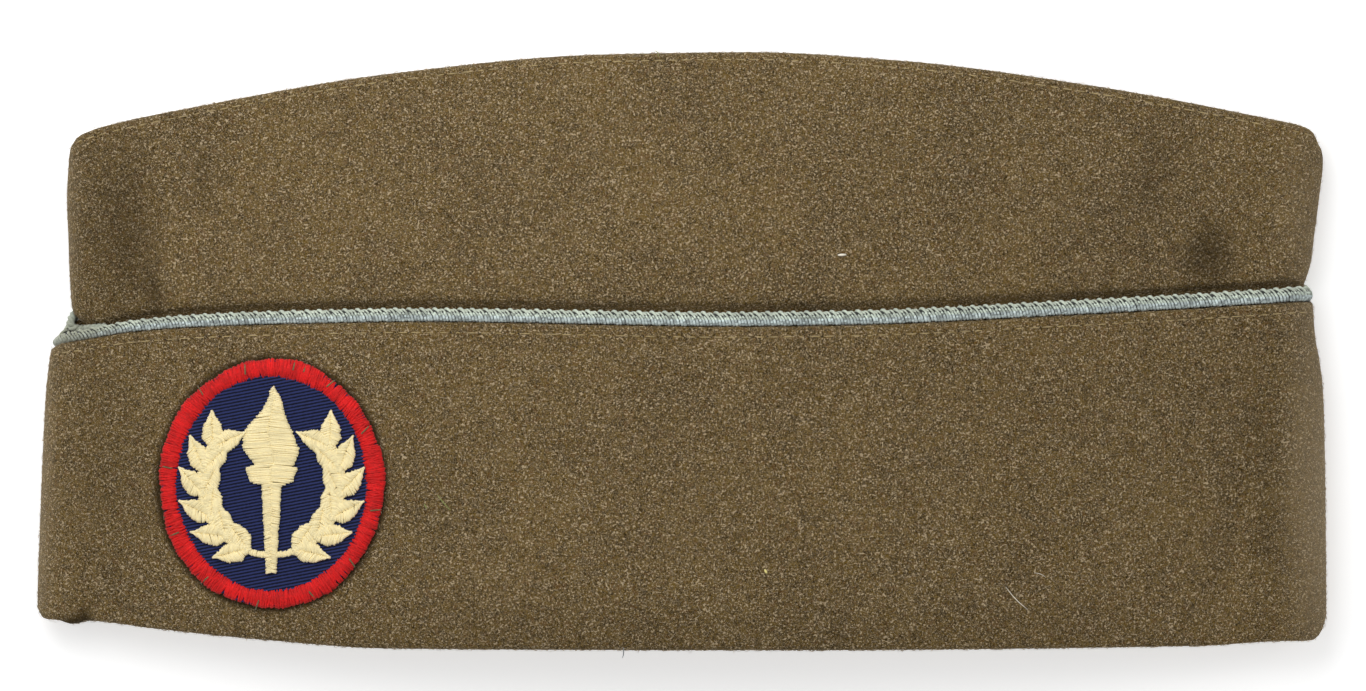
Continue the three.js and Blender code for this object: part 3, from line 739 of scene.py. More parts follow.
# Painted shade in the twill's grooves and painted light on its ribs, as shares of the ground's colour
GROOVE_PAINTED_SHADE, RIB_PAINTED_LIGHT = 0.15, 1.8
TWILL_ROUGHNESS = 0.8
TWILL_SHEEN = 0.05
TWILL_BUMP = 0.4
TWILL_DEPTH = 0.15


def twill_finish(settings):
    """Navy twill: painted shade in the grooves between its ribs and painted light on the ribs, broken up by
    slubs.
    """
    twill = Finish("navy_twill", TWILL_ROUGHNESS, sheen=TWILL_SHEEN)
    across = twill.node("ShaderNodeVectorMath", {"operation": "DOT_PRODUCT"}, {
        0: twill.place, 1: (-math.sin(RIB_TURN), math.cos(RIB_TURN), 0),
    }, "Value")
    wave = twill.node("ShaderNodeMath", {"operation": "SINE"}, {0: across * (2 * math.pi / settings.rib)})
    slubs = twill.noise(0.5, detail=2)
    tone = twill.between(0.5 * wave + slubs, 0.0, 1.0)
    color = twill.mix(tone, shade(settings.ground, GROOVE_PAINTED_SHADE), shade(settings.ground, RIB_PAINTED_LIGHT))
    return twill.finish(color, slubs, TWILL_BUMP, TWILL_DEPTH)


# Settings


def colour(name, default, description):
    return FloatVectorProperty(
        name=name, description=description, subtype="COLOR", size=4, min=0, max=1, default=(*default, 1.0)
    )


def length(name, default, description):
    return FloatProperty(
        name=name, description=f"{description}, in millimetres", default=default, min=0.01, soft_max=20
    )


def power(name, default, description):
    return FloatProperty(name=name, description=description, default=default, unit="POWER")


def tones(name, default):
    return FloatVectorProperty(
        name=name, description="Tones that the stitches take by chance", size=3, default=default, min=0, max=2
    )


class CapClothSettings(bpy.types.PropertyGroup):
    wool_light: colour("Wool, light", (.147, .0895, .0165), "Light tone of the fulled wool")
    wool_dark: colour("Wool, dark", (.036, .0198, .0016), "Dark tone of the fulled wool")
    wool_rust: colour("Wool, rust", (.13, .06, .014), "Reddish flecks in the wool")
    wool_fibre: colour("Wool, fibres", (.455, .355, .222), "Light fibres that lie on the wool")
    wool_bump: FloatProperty(
        name="Nap", description="How strong the nap stands out", default=0.6, min=0, max=1
    )
    nap: IntProperty(
        name="Nap fibres", description="Loose fibres on each ply that faces up", default=6000, min=0
    )
    hidden_nap: IntProperty(
        name="Hidden nap fibres", description="Loose fibres on each ply that faces down", default=2500, min=0
    )
    grid: length("Grid", 1.1, "Spacing of the mesh on the side that faces up")
    hidden_grid: length("Hidden grid", 2.2, "Spacing of the mesh on the side that lies on the floor")
    topstitch: colour("Topstitch", (.38, .285, .125), "Thread of the machine stitching")
    stitch_length: length("Stitch", 2.6, "Length of one machine stitch")
    stitch_pitch: length("Stitch pitch", 3.1, "Length of one machine stitch and its gap")


class CapBraidSettings(bpy.types.PropertyGroup):
    body: colour("Body", (.54, .61, .525), "Yarns of the braid's face")
    edge: colour("Edge", (.6, .66, .55), "Fat strands along the braid's upper edge")
    lower: colour("Lower edge", (.55, .63, .62), "Yarns near the braid's lower edge")
    face_tones: tones("Yarn tones", (0.6, 1.0, 1.32))
    dull: colour("Dull", (.26, .255, .17), "Where handling has dulled the braid")
    scallop: length("Scallop", 2.9, "Spacing of the strands along the upper edge")
    yarns: IntProperty(name="Yarns", description="Yarns of the face in one scallop", default=4, min=1, max=8)


class CapPatchSettings(bpy.types.PropertyGroup):
    ground: colour("Ground", (.0105, .0165, .07), "Twill of the patch")
    border_tones: tones("Border tones", (0.86, 1.0, 1.1))
    emblem_tones: tones("Emblem tones", (0.92, 1.0, 1.03))
    border: colour("Border", (.7, .008, .008), "Satin-stitched border")
    emblem: colour("Emblem", (1, .86, .49), "Satin-stitched emblem")
    tacking: colour("Tacking", (.17, .14, .05), "Hand stitches that hold the patch")
    rib: length("Twill rib", 0.72, "Spacing of the twill's ribs")
    border_pitch: length("Border pitch", 0.33, "Spacing of the border's stitches")
    emblem_pitch: length("Emblem pitch", 0.3, "Spacing of the emblem's stitches")


class CapLintSettings(bpy.types.PropertyGroup):
    pale: colour("Pale", (.9, .84, .7), "White bits and light hairs")
    yellow: colour("Yellow", (.95, .82, .3), "The yellow speck")
    green: colour("Green", (.25, .27, .07), "Green wisps and scraps")
    grey: colour("Grey", (.2, .22, .23), "The wisp at the rim")


class CapStageSettings(bpy.types.PropertyGroup):
    lens: FloatProperty(
        name="Lens", description="Focal length of the camera", default=300, min=50, unit="CAMERA"
    )
    key: power("Key light", 2, "Power of the light above the ridge")
    side: power("Side lights", 3.2, "Power of each light at the ends")
    rim: power("Rim light", 2.4, "Power of the light below the rim")
    world: FloatProperty(
        name="World", description="Strength of the light from all round", default=0.32, min=0
    )


class CapSettings(bpy.types.PropertyGroup):
    cloth: PointerProperty(type=CapClothSettings)
    braid: PointerProperty(type=CapBraidSettings)
    patch: PointerProperty(type=CapPatchSettings)
    lint: PointerProperty(type=CapLintSettings)
    stage: PointerProperty(type=CapStageSettings)


# Crown, curtain and gusset

SIDES = ("left", "right")
FOLD_STEPS = {"left": 10, "right": 5}
# Rows of the crown's mesh in and above the curtain come from these shares of the height
HIDDEN_SHARE = 0.35
SHOWN_SHARE = 0.403
ROUND_STEPS = 4
LIP_STEPS = 7
TUCK_BULGE = 1.5
TUCK_REACH = 5.0
TUCK_DIP = 2.2
TUCK_DIP_REACH = 0.85


def steps_between(low, high, count):
    """Heights from low to high, one row of them for each column."""
    return lerp(low, high, np.linspace(0, 1, count)[None])


def rail(columns, *pairs):
    """Insets and heights of a section's points, as arrays over the columns."""
    like = columns.share
    insets = np.concatenate([np.broadcast_to(inset, (len(like), h.shape[1])) for inset, h in pairs], axis=1)
    heights = np.concatenate([h for _, h in pairs], axis=1)
    return insets, heights


def crown_swell(side, columns, y):
    """The crown bulges between the braid and the ridge, and most where it comes out of the curtain."""
    if side != "left":
        return 0.0
    return swell_between(y, tuck_height(side, columns), ridge_height(side, columns))


def swell_between(y, tuck, ridge):
    """The crown's swell at a height, with a dip where it comes out of the curtain."""
    t = np.clip((y - tuck) / (ridge - tuck), 0, 1)
    above = np.clip(y - tuck, 0, None)
    bulge = TUCK_BULGE * (1 - np.exp(-above / TUCK_REACH)) * (1 - t) ** 1.5
    dip = TUCK_DIP * np.exp(-((y - tuck) / TUCK_DIP_REACH) ** 2)
    return CROWN_SWELL * 4 * t * (1 - t) + bulge - dip


def crown_mesh(side, grid):
    """A side panel of the crown, with its turned edge at the ridge."""
    columns = Columns(grid, FOLD_STEPS[side])
    bottom = rim_height(columns) + CURTAIN_CLOTH + PLY_GAP + np.where(columns.end == 0, 0, CORNER_ROOM)
    ridge = ridge_height(side, columns)
    tuck = tuck_height(side, columns)
    hidden = round(HIDDEN_SHARE * HEIGHT / (2 * grid))
    shown = round(SHOWN_SHARE * HEIGHT / grid)
    turn = np.linspace(0, math.pi / 2, ROUND_STEPS + 1)[None, 1:]
    outer = rail(
        columns,
        (CROWN_INSET, steps_between(bottom, tuck, hidden)),
        (CROWN_INSET, steps_between(tuck, ridge - RIDGE_ROUND, shown)[:, 1:]),
        (CROWN_INSET + RIDGE_ROUND * (1 - np.cos(turn)), ridge - RIDGE_ROUND * (1 - np.sin(turn))),
        (LIP_INSET - EDGE_EASE, ridge),
        (LIP_INSET, ridge - EDGE_EASE),
    )
    under = ridge - RIDGE_LIP
    lip = np.linspace(FOOT_INSET, LIP_INSET, LIP_STEPS)[None, 1:]
    inner = rail(
        columns,
        (FOOT_INSET, steps_between(bottom, tuck, hidden)),
        (FOOT_INSET, steps_between(tuck, under, shown)[:, 1:]),
        (lip, np.broadcast_to(under, (len(under), lip.shape[1]))),
    )
    rails = [
        ply_points(side, columns, y, inset, crown_outline, swell=crown_swell(side, columns, y))
        for inset, y in (outer, inner)
    ]
    return skin(*rails)


def curtain_mesh(side, grid):
    """A side of the curtain, with its turned rim at the bottom."""
    columns = Columns(grid, FOLD_STEPS[side])
    bottom = rim_height(columns)
    top = piping_height(side, columns) - edge_half(columns)
    rows_up = round(HEIGHT * PIPING_LEVEL / grid)
    turn = np.linspace(0, math.pi / 2, ROUND_STEPS + 1)[None, :-1]
    outer = rail(
        columns,
        (FOOT_INSET, bottom + EDGE_EASE),
        (FOOT_INSET - EDGE_EASE, bottom),
        (RIM_ROUND * (1 - np.sin(turn)), bottom + RIM_ROUND * (1 - np.cos(turn))),
        (0.0, steps_between(bottom + RIM_ROUND, top - EDGE_EASE, rows_up)),
        (EDGE_EASE, top),
    )
    foot_top = bottom + CURTAIN_CLOTH
    foot = np.linspace(FOOT_INSET, CURTAIN_CLOTH, LIP_STEPS)[None, :-1]
    inner = rail(
        columns,
        (foot, np.broadcast_to(foot_top, (len(foot_top), foot.shape[1]))),
        (CURTAIN_CLOTH, steps_between(foot_top, top - EDGE_EASE, rows_up)),
        (CURTAIN_CLOTH - EDGE_EASE, top),
    )
    return skin(*(ply_points(side, columns, y, inset, curtain_outline) for inset, y in (outer, inner)))


GUSSET_STEPS = 110
GUSSET_ROWS = 16
GUSSET_ENDS = (0.004, 0.996)


class GussetColumns(Columns):
    """Columns of the gusset, which are closer together near the folds."""

    def __init__(self, steps):
        even = np.linspace(0, 1, steps)
        self.share = np.clip((even + (1 - np.cos(math.pi * even)) / 2) / 2, *GUSSET_ENDS)[:, None]
        self.end = np.zeros_like(self.share)
        self.angle = np.full_like(self.share, math.pi / 2)


def gusset_mesh():
    """A V of cloth between the two sides, deepest at the middle of the cap."""
    columns = GussetColumns(GUSSET_STEPS)
    inset = FOOT_INSET + PLY_GAP
    half = CREASE_GAP / 2
    left_top = ridge_height("left", columns) - RIDGE_LIP - PLY_GAP
    right_top = ridge_height("right", columns) - RIDGE_LIP - PLY_GAP
    crease = left_top - GUSSET_DEPTH * np.sin(math.pi * columns.share) ** GUSSET_TAPER

    def face_z(side, y):
        return ply_points(side, columns, y, inset, crown_outline)[..., 2]

    left_z, right_z = face_z("left", left_top), face_z("right", right_top)
    room = left_z - right_z - 2 * GUSSET_CLOTH - CREASE_GAP
    middle = face_z("right", crease - GUSSET_CLOTH) + GUSSET_CLOTH + half + np.maximum(0, room / 2)

    def arm(top, top_z, bottom_z):
        return steps_between(top, crease, GUSSET_ROWS), steps_between(top_z, bottom_z, GUSSET_ROWS)

    def section(left_arm, right_arm, fold, spread):
        heights = np.concatenate((left_arm[0], fold, fold, right_arm[0][:, ::-1]), axis=1)
        turned = (middle + spread, middle - spread)
        levels = np.concatenate((left_arm[1], *turned, right_arm[1][:, ::-1]), axis=1)
        x = columns.x(heights, crown_outline)
        return np.stack((x, heights, levels), axis=-1)

    outer = section(
        arm(left_top, left_z, middle + half + GUSSET_CLOTH),
        arm(right_top, right_z, middle - half - GUSSET_CLOTH),
        crease - GUSSET_CLOTH,
        half + CREASE_FLAT * GUSSET_CLOTH,
    )
    inner = section(
        arm(left_top, left_z - GUSSET_CLOTH, middle + half),
        arm(right_top, right_z + GUSSET_CLOTH, middle - half),
        crease - half,
        half / 2,
    )
    return skin(outer, inner)


# Nap

# Length and half width in mm, the rest as shares of a fibre's length
NAP_SIDES = 3
NAP_STEPS = 3
NAP_LENGTH = (0.5, 1.3)
NAP_HALF = (0.03, 0.055)
NAP_STAND = (0.15, 0.75)
NAP_CURL = 1.4
NAP_BEND = 0.5
NAP_ROOT = 0.05
# Where the fibres stand, in mm, and how much they favour the places that turn out of sight
NAP_SCATTER = 0.6
NAP_ABOVE_FLOOR = 0.1
SEEN_FROM = 1.0
EDGE_FAVOUR = 5.0


def nap_mesh(points, faces, count, seed):
    """Loose fibres that stand off a ply: a few on its face, more where it turns out of sight."""
    rng = np.random.default_rng(seed)
    corners = points[np.array(faces)]
    centre = corners.mean(axis=1)
    normal = np.cross(corners[:, 2] - corners[:, 0], corners[:, 3] - corners[:, 1])
    area = np.linalg.norm(normal, axis=1)
    normal /= np.maximum(area, 1e-9)[:, None]
    away = centre - np.array((0, 0, RIM_THICKNESS / 2))
    seen = ((normal * away).sum(axis=1) > 0) & (centre[:, 2] > SEEN_FROM)
    weight = area * seen * (1 + EDGE_FAVOUR * (1 - np.abs(normal[:, 2])) ** 2)
    pick = rng.choice(len(centre), count, p=weight / weight.sum())
    root, out = centre[pick], normal[pick]
    root = root + rng.uniform(-NAP_SCATTER, NAP_SCATTER, root.shape) * (1 - np.abs(out))
    way = rng.normal(size=out.shape)
    way = unit(way - out * (way * out).sum(axis=1, keepdims=True))
    bend = np.cross(out, way) * rng.uniform(-NAP_BEND, NAP_BEND, (count, 1))
    size = rng.uniform(*NAP_LENGTH, (count, 1, 1))
    stand = rng.uniform(*NAP_STAND, (count, 1, 1))
    t = np.linspace(0, 1, NAP_STEPS)[None, :, None]
    rise = stand * t * (NAP_CURL - t) - NAP_ROOT
    paths = root[:, None] + size * (way[:, None] * t + bend[:, None] * t ** 2 + out[:, None] * rise)
    paths[..., 2] = np.maximum(paths[..., 2], NAP_ABOVE_FLOOR)
    half = rng.uniform(*NAP_HALF, (count, 1)) * np.ones((1, NAP_STEPS))
    return threads(paths, np.broadcast_to(out[:, None], paths.shape), half, half, NAP_SIDES)


# Machine stitching

# Lengths in mm. A stitch's levels and tip, and a mark's outline and sizes, are shares of its half width
CROWN_STITCH_DROP = 1.7
CURTAIN_STITCH_DROP = 2.3
STITCH_HALF = 0.14
STITCH_SHIFT = 0.15
STITCH_SINKS = (-0.17, 0.06)
STITCH_TIP = 0.45
STITCH_ARCH = 0.6
STITCH_LEVELS = (-0.95, 0.55)
STITCH_STEPS = 6
STITCH_SIDES = 6
STITCH_COLUMNS = {"step": 1.0, "fold_steps": 8}
NEEDLE_MARK = 0.24
MARK_DEPTH = 0.1
MARK_HEIGHT = 0.8
MARK_OUTLINE = (0.6, 1.0, 0.6)
MARK_SIZES = (0.5, 1.0)
OUT_STEP = 0.5


def side_curve(side, columns, height, inset, outline, swell=0.0):
    """A line along a side at one height for each column."""
    return ply_points(side, columns, height, inset, outline, swell=swell)[:, 0]


def thread_stitches(line, outs, starts, settings, rng):
    """Stitches that rise out of the cloth and dip back in."""
    reach = reach_along(line)
    t = np.linspace(0, 1, STITCH_STEPS)[None]
    at = starts[:, None] + settings.stitch_length * t
    up = on_line(outs, reach, at)
    rise = lerp(*STITCH_LEVELS, np.sin(math.pi * t) ** STITCH_ARCH)
    sunk = rng.uniform(*STITCH_SINKS, (len(starts), 1))
    paths = on_line(line, reach, at) + up * (STITCH_HALF * rise + sunk)[..., None]
    paths[..., 2] = np.maximum(paths[..., 2], STITCH_HALF)
    half = STITCH_HALF * lerp(STITCH_TIP, 1, np.sin(math.pi * t)) * np.ones_like(at)
    return threads(paths, up, half, half, STITCH_SIDES)


def needle_marks(line, outs, starts, settings, rng):
    """Pits between the stitches, where the needle went in, dark with painted shade."""
    reach = reach_along(line)
    gap = settings.stitch_pitch - settings.stitch_length
    at = starts[:, None] - gap / 2 + NEEDLE_MARK * np.linspace(-1, 1, len(MARK_OUTLINE))[None]
    up = on_line(outs, reach, at)
    paths = on_line(line, reach, at) - MARK_DEPTH * up
    paths[..., 2] = np.maximum(paths[..., 2], NEEDLE_MARK)
    half = NEEDLE_MARK * np.array(MARK_OUTLINE) * rng.uniform(*MARK_SIZES, (len(starts), 1))
    return threads(paths, up, half, MARK_HEIGHT * half, STITCH_SIDES)


def stitch_mesh(line, outs, settings, seed):
    """A row of machine stitching along a line, with the finish of each face."""
    rng = np.random.default_rng(seed)
    length = reach_along(line)[-1]
    starts = np.arange(settings.stitch_pitch, length - settings.stitch_pitch, settings.stitch_pitch)
    starts = starts + rng.uniform(-STITCH_SHIFT, STITCH_SHIFT, len(starts))
    stitches = thread_stitches(line, outs, starts, settings, rng)
    marks = needle_marks(line, outs, starts, settings, rng)
    return joined((stitches, marks)), np.repeat((0, 1), (len(stitches[1]), len(marks[1])))


def stitch_object(name, made, finishes):
    mesh, marks = made
    return mesh_object(name, *mesh, finishes, marks)


def outs_of(side, columns, height, outline):
    """Direction out of the cap along a line, for what lies on it."""
    near = side_curve(side, columns, height, 0.0, outline)
    deep = side_curve(side, columns, height, OUT_STEP, outline)
    return unit(near - deep)


def topstitch(side, settings):
    """The row of stitching just below the ridge."""
    columns = Columns(**STITCH_COLUMNS)
    height = ridge_height(side, columns) - CROWN_STITCH_DROP
    swell = crown_swell(side, columns, height)
    line = side_curve(side, columns, height, CROWN_INSET, crown_outline, swell)
    return stitch_mesh(line, outs_of(side, columns, height, crown_outline), settings, SEEDS["topstitch"])


def edge_stitch(side, settings):
    """The row of stitching just below the braid."""
    columns = Columns(**STITCH_COLUMNS)
    height = piping_height(side, columns) - edge_half(columns) - CURTAIN_STITCH_DROP
    line = side_curve(side, columns, height, 0.0, curtain_outline)
    return stitch_mesh(line, outs_of(side, columns, height, curtain_outline), settings, SEEDS["edge stitch"])


# Braid

TONE_SHARES = (0.25, 0.5, 0.25)
BRAID_COLUMNS = {"step": 0.7, "fold_steps": 16}
BRAID_CORE = 0.72
BRAID_SIDES = 14
BRAID_REST = 1.45
CORE_STEP = 0.75
# Yarns: angles round the braid in degrees, 0 outward, and the rest as shares or in mm along it
YARN_STEPS = 10
YARN_SIDES = 5
YARN_TOP, YARN_FOOT = 20, -115
YARN_LEAN = 1.5
YARN_SHIFT = 0.07
YARN_SNAKE = 0.2
YARN_REST = 0.84
YARN_GROUP = 0.035
YARN_LIFT = 0.03
YARN_HALF = 0.35
YARN_TIP = 0.6
YARN_HEIGHT = 1.1
YARN_FOOT_AT = 0.74
YARN_FOOT_REACH = 0.13
YARN_FOOT_SWELL = 0.5
YARN_FOOT_SIZES = (0.3, 1)
LOWER_FROM = -22
# Strands of the upper edge, in the same terms
STRAND_STEPS = 12
STRAND_SIDES = 6
STRAND_BACK, STRAND_FRONT = 150, 8
STRAND_LEAN = (-1.0, 1.05)
STRAND_EASE = 1.15
STRAND_TIP = 0.17
STRAND_HEIGHT = 0.8
STRAND_ARCH = 0.15
STRAND_BULGE_AT, STRAND_BULGE_REACH = 0.5, 0.34
STRAND_SIZE_VARY = 0.1
SCALLOP_SHIFT = 0.12
STRAND_SHIFT = 0.08
STRANDS = (
    {"behind": 0.0, "half": 0.42, "swell": 0.72},
    {"behind": 0.92, "half": 0.42, "swell": 0.48},
    {"behind": 1.66, "half": 0.27, "swell": 0.62},
)
# Places in the braid's list of finishes. The face and the lower edge have three tones each
CORE_FINISH, EDGE_FINISH, FACE_FINISH, LOWER_FINISH = 0, 1, 2, 5


class BraidLine:
    """The braid's centre all the way round, with the directions up and out of it."""

    def __init__(self):
        columns = Columns(**BRAID_COLUMNS)
        left = self.side("left", columns)
        right = self.side("right", columns)
        loop = [np.concatenate((a, b[-2:0:-1])) for a, b in zip(left, right)]
        closed = [np.concatenate((part, part[:1])) for part in loop]
        self.centre, self.up, self.out = closed
        self.centre[:, 2] = np.maximum(self.centre[:, 2], BRAID_REST)
        self.reach = reach_along(self.centre)
        self.length = self.reach[-1]

    def side(self, side, columns):
        """The centre on one side, and the directions up and out of it."""
        height = piping_height(side, columns)
        inset = CURTAIN_CLOTH / 2

        def place(y, deep):
            return ply_points(side, columns, y, deep, curtain_outline, seam_gap=0)[:, 0]

        up = place(height + OUT_STEP, inset) - place(height - OUT_STEP, inset)
        out = place(height, inset - OUT_STEP) - place(height, inset + OUT_STEP)
        return place(height, inset), unit(up), unit(out)

    def at(self, along, angle, swell=1.0):
        """Points on the braid, an angle round it from its outward side."""
        along = np.mod(along, self.length)
        centre = on_line(self.centre, self.reach, along)
        up = on_line(self.up, self.reach, along)
        out = on_line(self.out, self.reach, along)
        tall = swell * braid_half(centre[..., 0]) * np.sin(angle)
        deep = swell * PIPING_DEPTH / 2 * np.cos(angle)
        spread = up * tall[..., None] + out * deep[..., None]
        return centre + spread, unit(spread)


def braid_core(line):
    """Core that fills the braid below its yarns, near black as painted shade in the gaps between them."""
    count = round(line.length / CORE_STEP)
    along = np.linspace(0, line.length, count, endpoint=False)[:, None]
    angle = np.linspace(0, 2 * math.pi, BRAID_SIDES, endpoint=False)[None]
    points, _ = line.at(along + 0 * angle, angle + 0 * along, np.full((count, BRAID_SIDES), BRAID_CORE))
    half = BRAID_SIDES // 2
    return skin(points[:, :half], points[:, half:][:, ::-1], closes_on_itself=True)


def braid_yarns(line, settings):
    """Fine yarns that cross the braid's face, from below its upper edge to its lower one."""
    rng = np.random.default_rng(SEEDS["yarns"])
    count = round(line.length / settings.scallop) * settings.yarns
    start = np.arange(count)[:, None] * line.length / count + rng.uniform(-YARN_SHIFT, YARN_SHIFT, (count, 1))
    t = np.linspace(0, 1, YARN_STEPS)[None]
    angle = np.radians(lerp(YARN_TOP, YARN_FOOT, t)) + 0 * start
    along = start + YARN_LEAN * (t - 0.5) + YARN_SNAKE * np.sin(2 * math.pi * t)
    group = YARN_GROUP * np.sin(2 * math.pi * start / settings.scallop)
    group = group + rng.uniform(-YARN_LIFT, YARN_LIFT, (count, 1))
    paths, out = line.at(along, angle, YARN_REST + group + 0 * t)
    foot = np.exp(-((t - YARN_FOOT_AT) / YARN_FOOT_REACH) ** 2) * rng.uniform(*YARN_FOOT_SIZES, (count, 1))
    half = YARN_HALF * lerp(YARN_TIP, 1, np.sin(math.pi * t)) * (1 + YARN_FOOT_SWELL * foot)
    return threads(paths, out, half, half * YARN_HEIGHT, YARN_SIDES)


def yarn_marks(faces):
    """Finish of each face of the yarns: each step along a yarn takes one of three tones by chance."""
    rng = np.random.default_rng(SEEDS["yarn tones"])
    count = len(faces) // (YARN_SIDES * (YARN_STEPS - 1) + 2)
    angle = np.linspace(YARN_TOP, YARN_FOOT, YARN_STEPS)[1:]
    tone = rng.choice(3, (count, YARN_STEPS - 1), p=TONE_SHARES)
    rows = np.where(angle < LOWER_FROM, LOWER_FINISH, FACE_FINISH) + tone
    return np.concatenate((np.repeat(rows.ravel(), YARN_SIDES), np.full(2 * count, FACE_FINISH)))


def braid_edge(line, settings):
    """Strands that lean over the upper edge in threes: a hump with a slit in it, and a low one between."""
    rng = np.random.default_rng(SEEDS["strands"])
    count = round(line.length / settings.scallop)
    base = np.arange(count)[:, None] * line.length / count
    base = base + rng.uniform(-SCALLOP_SHIFT, SCALLOP_SHIFT, (count, 1))
    t = np.linspace(0, 1, STRAND_STEPS)[None]
    angle = np.radians(lerp(STRAND_BACK, STRAND_FRONT, t)) + 0 * base
    bulge = np.exp(-((t - STRAND_BULGE_AT) / STRAND_BULGE_REACH) ** 2)
    parts = []
    for strand in STRANDS:
        start = base + strand["behind"] + rng.uniform(-STRAND_SHIFT, STRAND_SHIFT, (count, 1))
        along = start + lerp(*STRAND_LEAN, t ** STRAND_EASE)
        paths, out = line.at(along, angle, strand["swell"] + STRAND_ARCH * bulge + 0 * start)
        size = 1 + rng.uniform(-STRAND_SIZE_VARY, STRAND_SIZE_VARY, (count, 1))
        half = lerp(STRAND_TIP, strand["half"], bulge) * size
        parts.append(threads(paths, out, half, half * STRAND_HEIGHT, STRAND_SIDES))
    return joined(parts)


# The far braid's end at the front corner: its way seen from above and its lift off the crown, in mm
LAP = {
    "x": (-130.2, -133.0, -135.4, -137.3, -138.5, -138.6, -138.2, -137.6),
    "y": (5.3, 5.1, 4.9, 4.9, 5.5, 6.6, 7.6, 8.5),
    "lift": (-0.3, 0.4, 0.7, 0.8, 0.7, 0.2, -0.7, -1.7),
}
LAP_HALF = 0.56
LAP_TWIST = 2.4
LAP_SPREAD = 0.75
LAP_STEPS = 60
LAP_SMOOTHING = 9
LAP_SIDES = 8


def smoothed(row):
    """A row of values with each one averaged over its neighbours."""
    padded = np.pad(row, LAP_SMOOTHING // 2, mode="edge")
    return np.convolve(padded, np.ones(LAP_SMOOTHING) / LAP_SMOOTHING, "valid")


def braid_lap():
    """The far braid's end: two plain strands round the crown's corner that go in below the near one."""
    rows = np.arange(len(LAP["x"]))
    at = np.linspace(0, rows[-1], LAP_STEPS)
    x, y, lift = (smoothed(np.interp(at, rows, LAP[key])) for key in ("x", "y", "lift"))
    line = np.stack((x, y, side_level(x, y, crown_outline, CROWN_INSET) + lift), axis=-1)
    along = unit(np.gradient(line, axis=0))
    up = unit(np.array((0, 0, 1.0)) - along * along[:, 2:])
    side = np.cross(along, up)
    half = np.full((1, LAP_STEPS), LAP_HALF)
    parts = []
    for phase in (0, math.pi):
        turn = (phase + reach_along(line) / LAP_TWIST * 2 * math.pi)[:, None]
        path = line + LAP_HALF * LAP_SPREAD * (side * np.cos(turn) + up * np.sin(turn))
        parts.append(threads(path[None], up[None], half, half, LAP_SIDES))
    return joined(parts)


# Patch


def drape(flat, lift):
    """Points of the patch, laid out flat round its middle, on the curtain."""
    x, y = PATCH_X + flat[..., 0], PATCH_Y + flat[..., 1]
    return np.stack((x, y, side_level(x, y, curtain_outline, 0.0) + PLY_GAP + lift), axis=-1)


def patch_edge(inset, angle):
    """Flat points of the patch at an inset from its edge."""
    wide, tall = PATCH_WIDTH / 2 - inset, PATCH_HEIGHT / 2 - inset
    return np.stack((wide * np.cos(angle), tall * np.sin(angle)), axis=-1)


GROUND_INSET = 0.35
GROUND_FRAY = 0.16
GROUND_FRAYS = (
    {"size": 1, "times": 2, "start": -0.6},
    {"size": 0.5, "times": 5, "start": 0},
    {"size": 0.3, "times": 13, "start": 0},
)
GROUND_END = 0.9995
RIB_TURN = math.radians(11)
RIB_STEPS = 5
RIB_HEIGHT = 0.24
GROUND_STEPS = 96


def ground_mesh(settings):
    """Twill disc: one row of points for each step across its ribs, closed by a strip below."""
    wide, tall = PATCH_WIDTH / 2 - GROUND_INSET, PATCH_HEIGHT / 2 - GROUND_INSET
    rows = round(2 * tall / settings.rib * RIB_STEPS)
    across = np.linspace(-GROUND_END, GROUND_END, rows)[:, None]
    along = np.sqrt(1 - across ** 2) * np.linspace(-1, 1, GROUND_STEPS)[None]
    x = wide * along
    y = tall * across + 0 * along
    fray = GROUND_FRAY * ripples(np.arctan2(y, x), GROUND_FRAYS) / wide
    x, y = x * (1 + fray * along ** 2), y * (1 + fray * across ** 2)
    ribs = (y * math.cos(RIB_TURN) - x * math.sin(RIB_TURN)) / settings.rib
    lift = PATCH_CLOTH + RIB_HEIGHT * (np.abs(np.sin(math.pi * ribs)) - 1)
    flat = np.stack((x, y), axis=-1)
    top = drape(flat, lift)
    below = drape(flat[:, (0, -1)], np.zeros((rows, 2)))
    points = np.concatenate((top.reshape(-1, 3), below.reshape(-1, 3)))
    a = np.arange(rows - 1)[:, None] * GROUND_STEPS + np.arange(GROUND_STEPS - 1)[None]
    faces = np.stack((a, a + 1, a + 1 + GROUND_STEPS, a + GROUND_STEPS), axis=-1).reshape(-1, 4).tolist()
    low = rows * GROUND_STEPS
    last = GROUND_STEPS - 1
    for row in range(rows - 1):
        left, right = low + 2 * row, low + 2 * row + 1
        here, after = row * GROUND_STEPS, (row + 1) * GROUND_STEPS
        faces.append([left, left + 2, right + 2, right])
        faces.append([here, after, left + 2, left])
        faces.append([right, right + 2, after + last, here + last])
    end = (rows - 1) * GROUND_STEPS
    faces.append([*range(GROUND_STEPS - 1, -1, -1), low, low + 1])
    faces.append([*range(end, end + GROUND_STEPS), low + 2 * rows - 1, low + 2 * rows - 2])
    return points, faces


SATIN_STEPS = 7
SATIN_SIDES = 6
SATIN_ARCH = (0.07, 0.93)


def stitch_tones(parts, seed):
    """Finish of each face of satin stitches: each stitch takes one of three tones by chance."""
    rng = np.random.default_rng(seed)
    around = (SATIN_STEPS - 1) * SATIN_SIDES
    marks = []
    for _, faces in parts:
        tone = rng.choice(3, len(faces) // (around + 2), p=TONE_SHARES)
        marks += [np.repeat(tone, around), np.repeat(tone, 2)]
    return np.concatenate(marks)


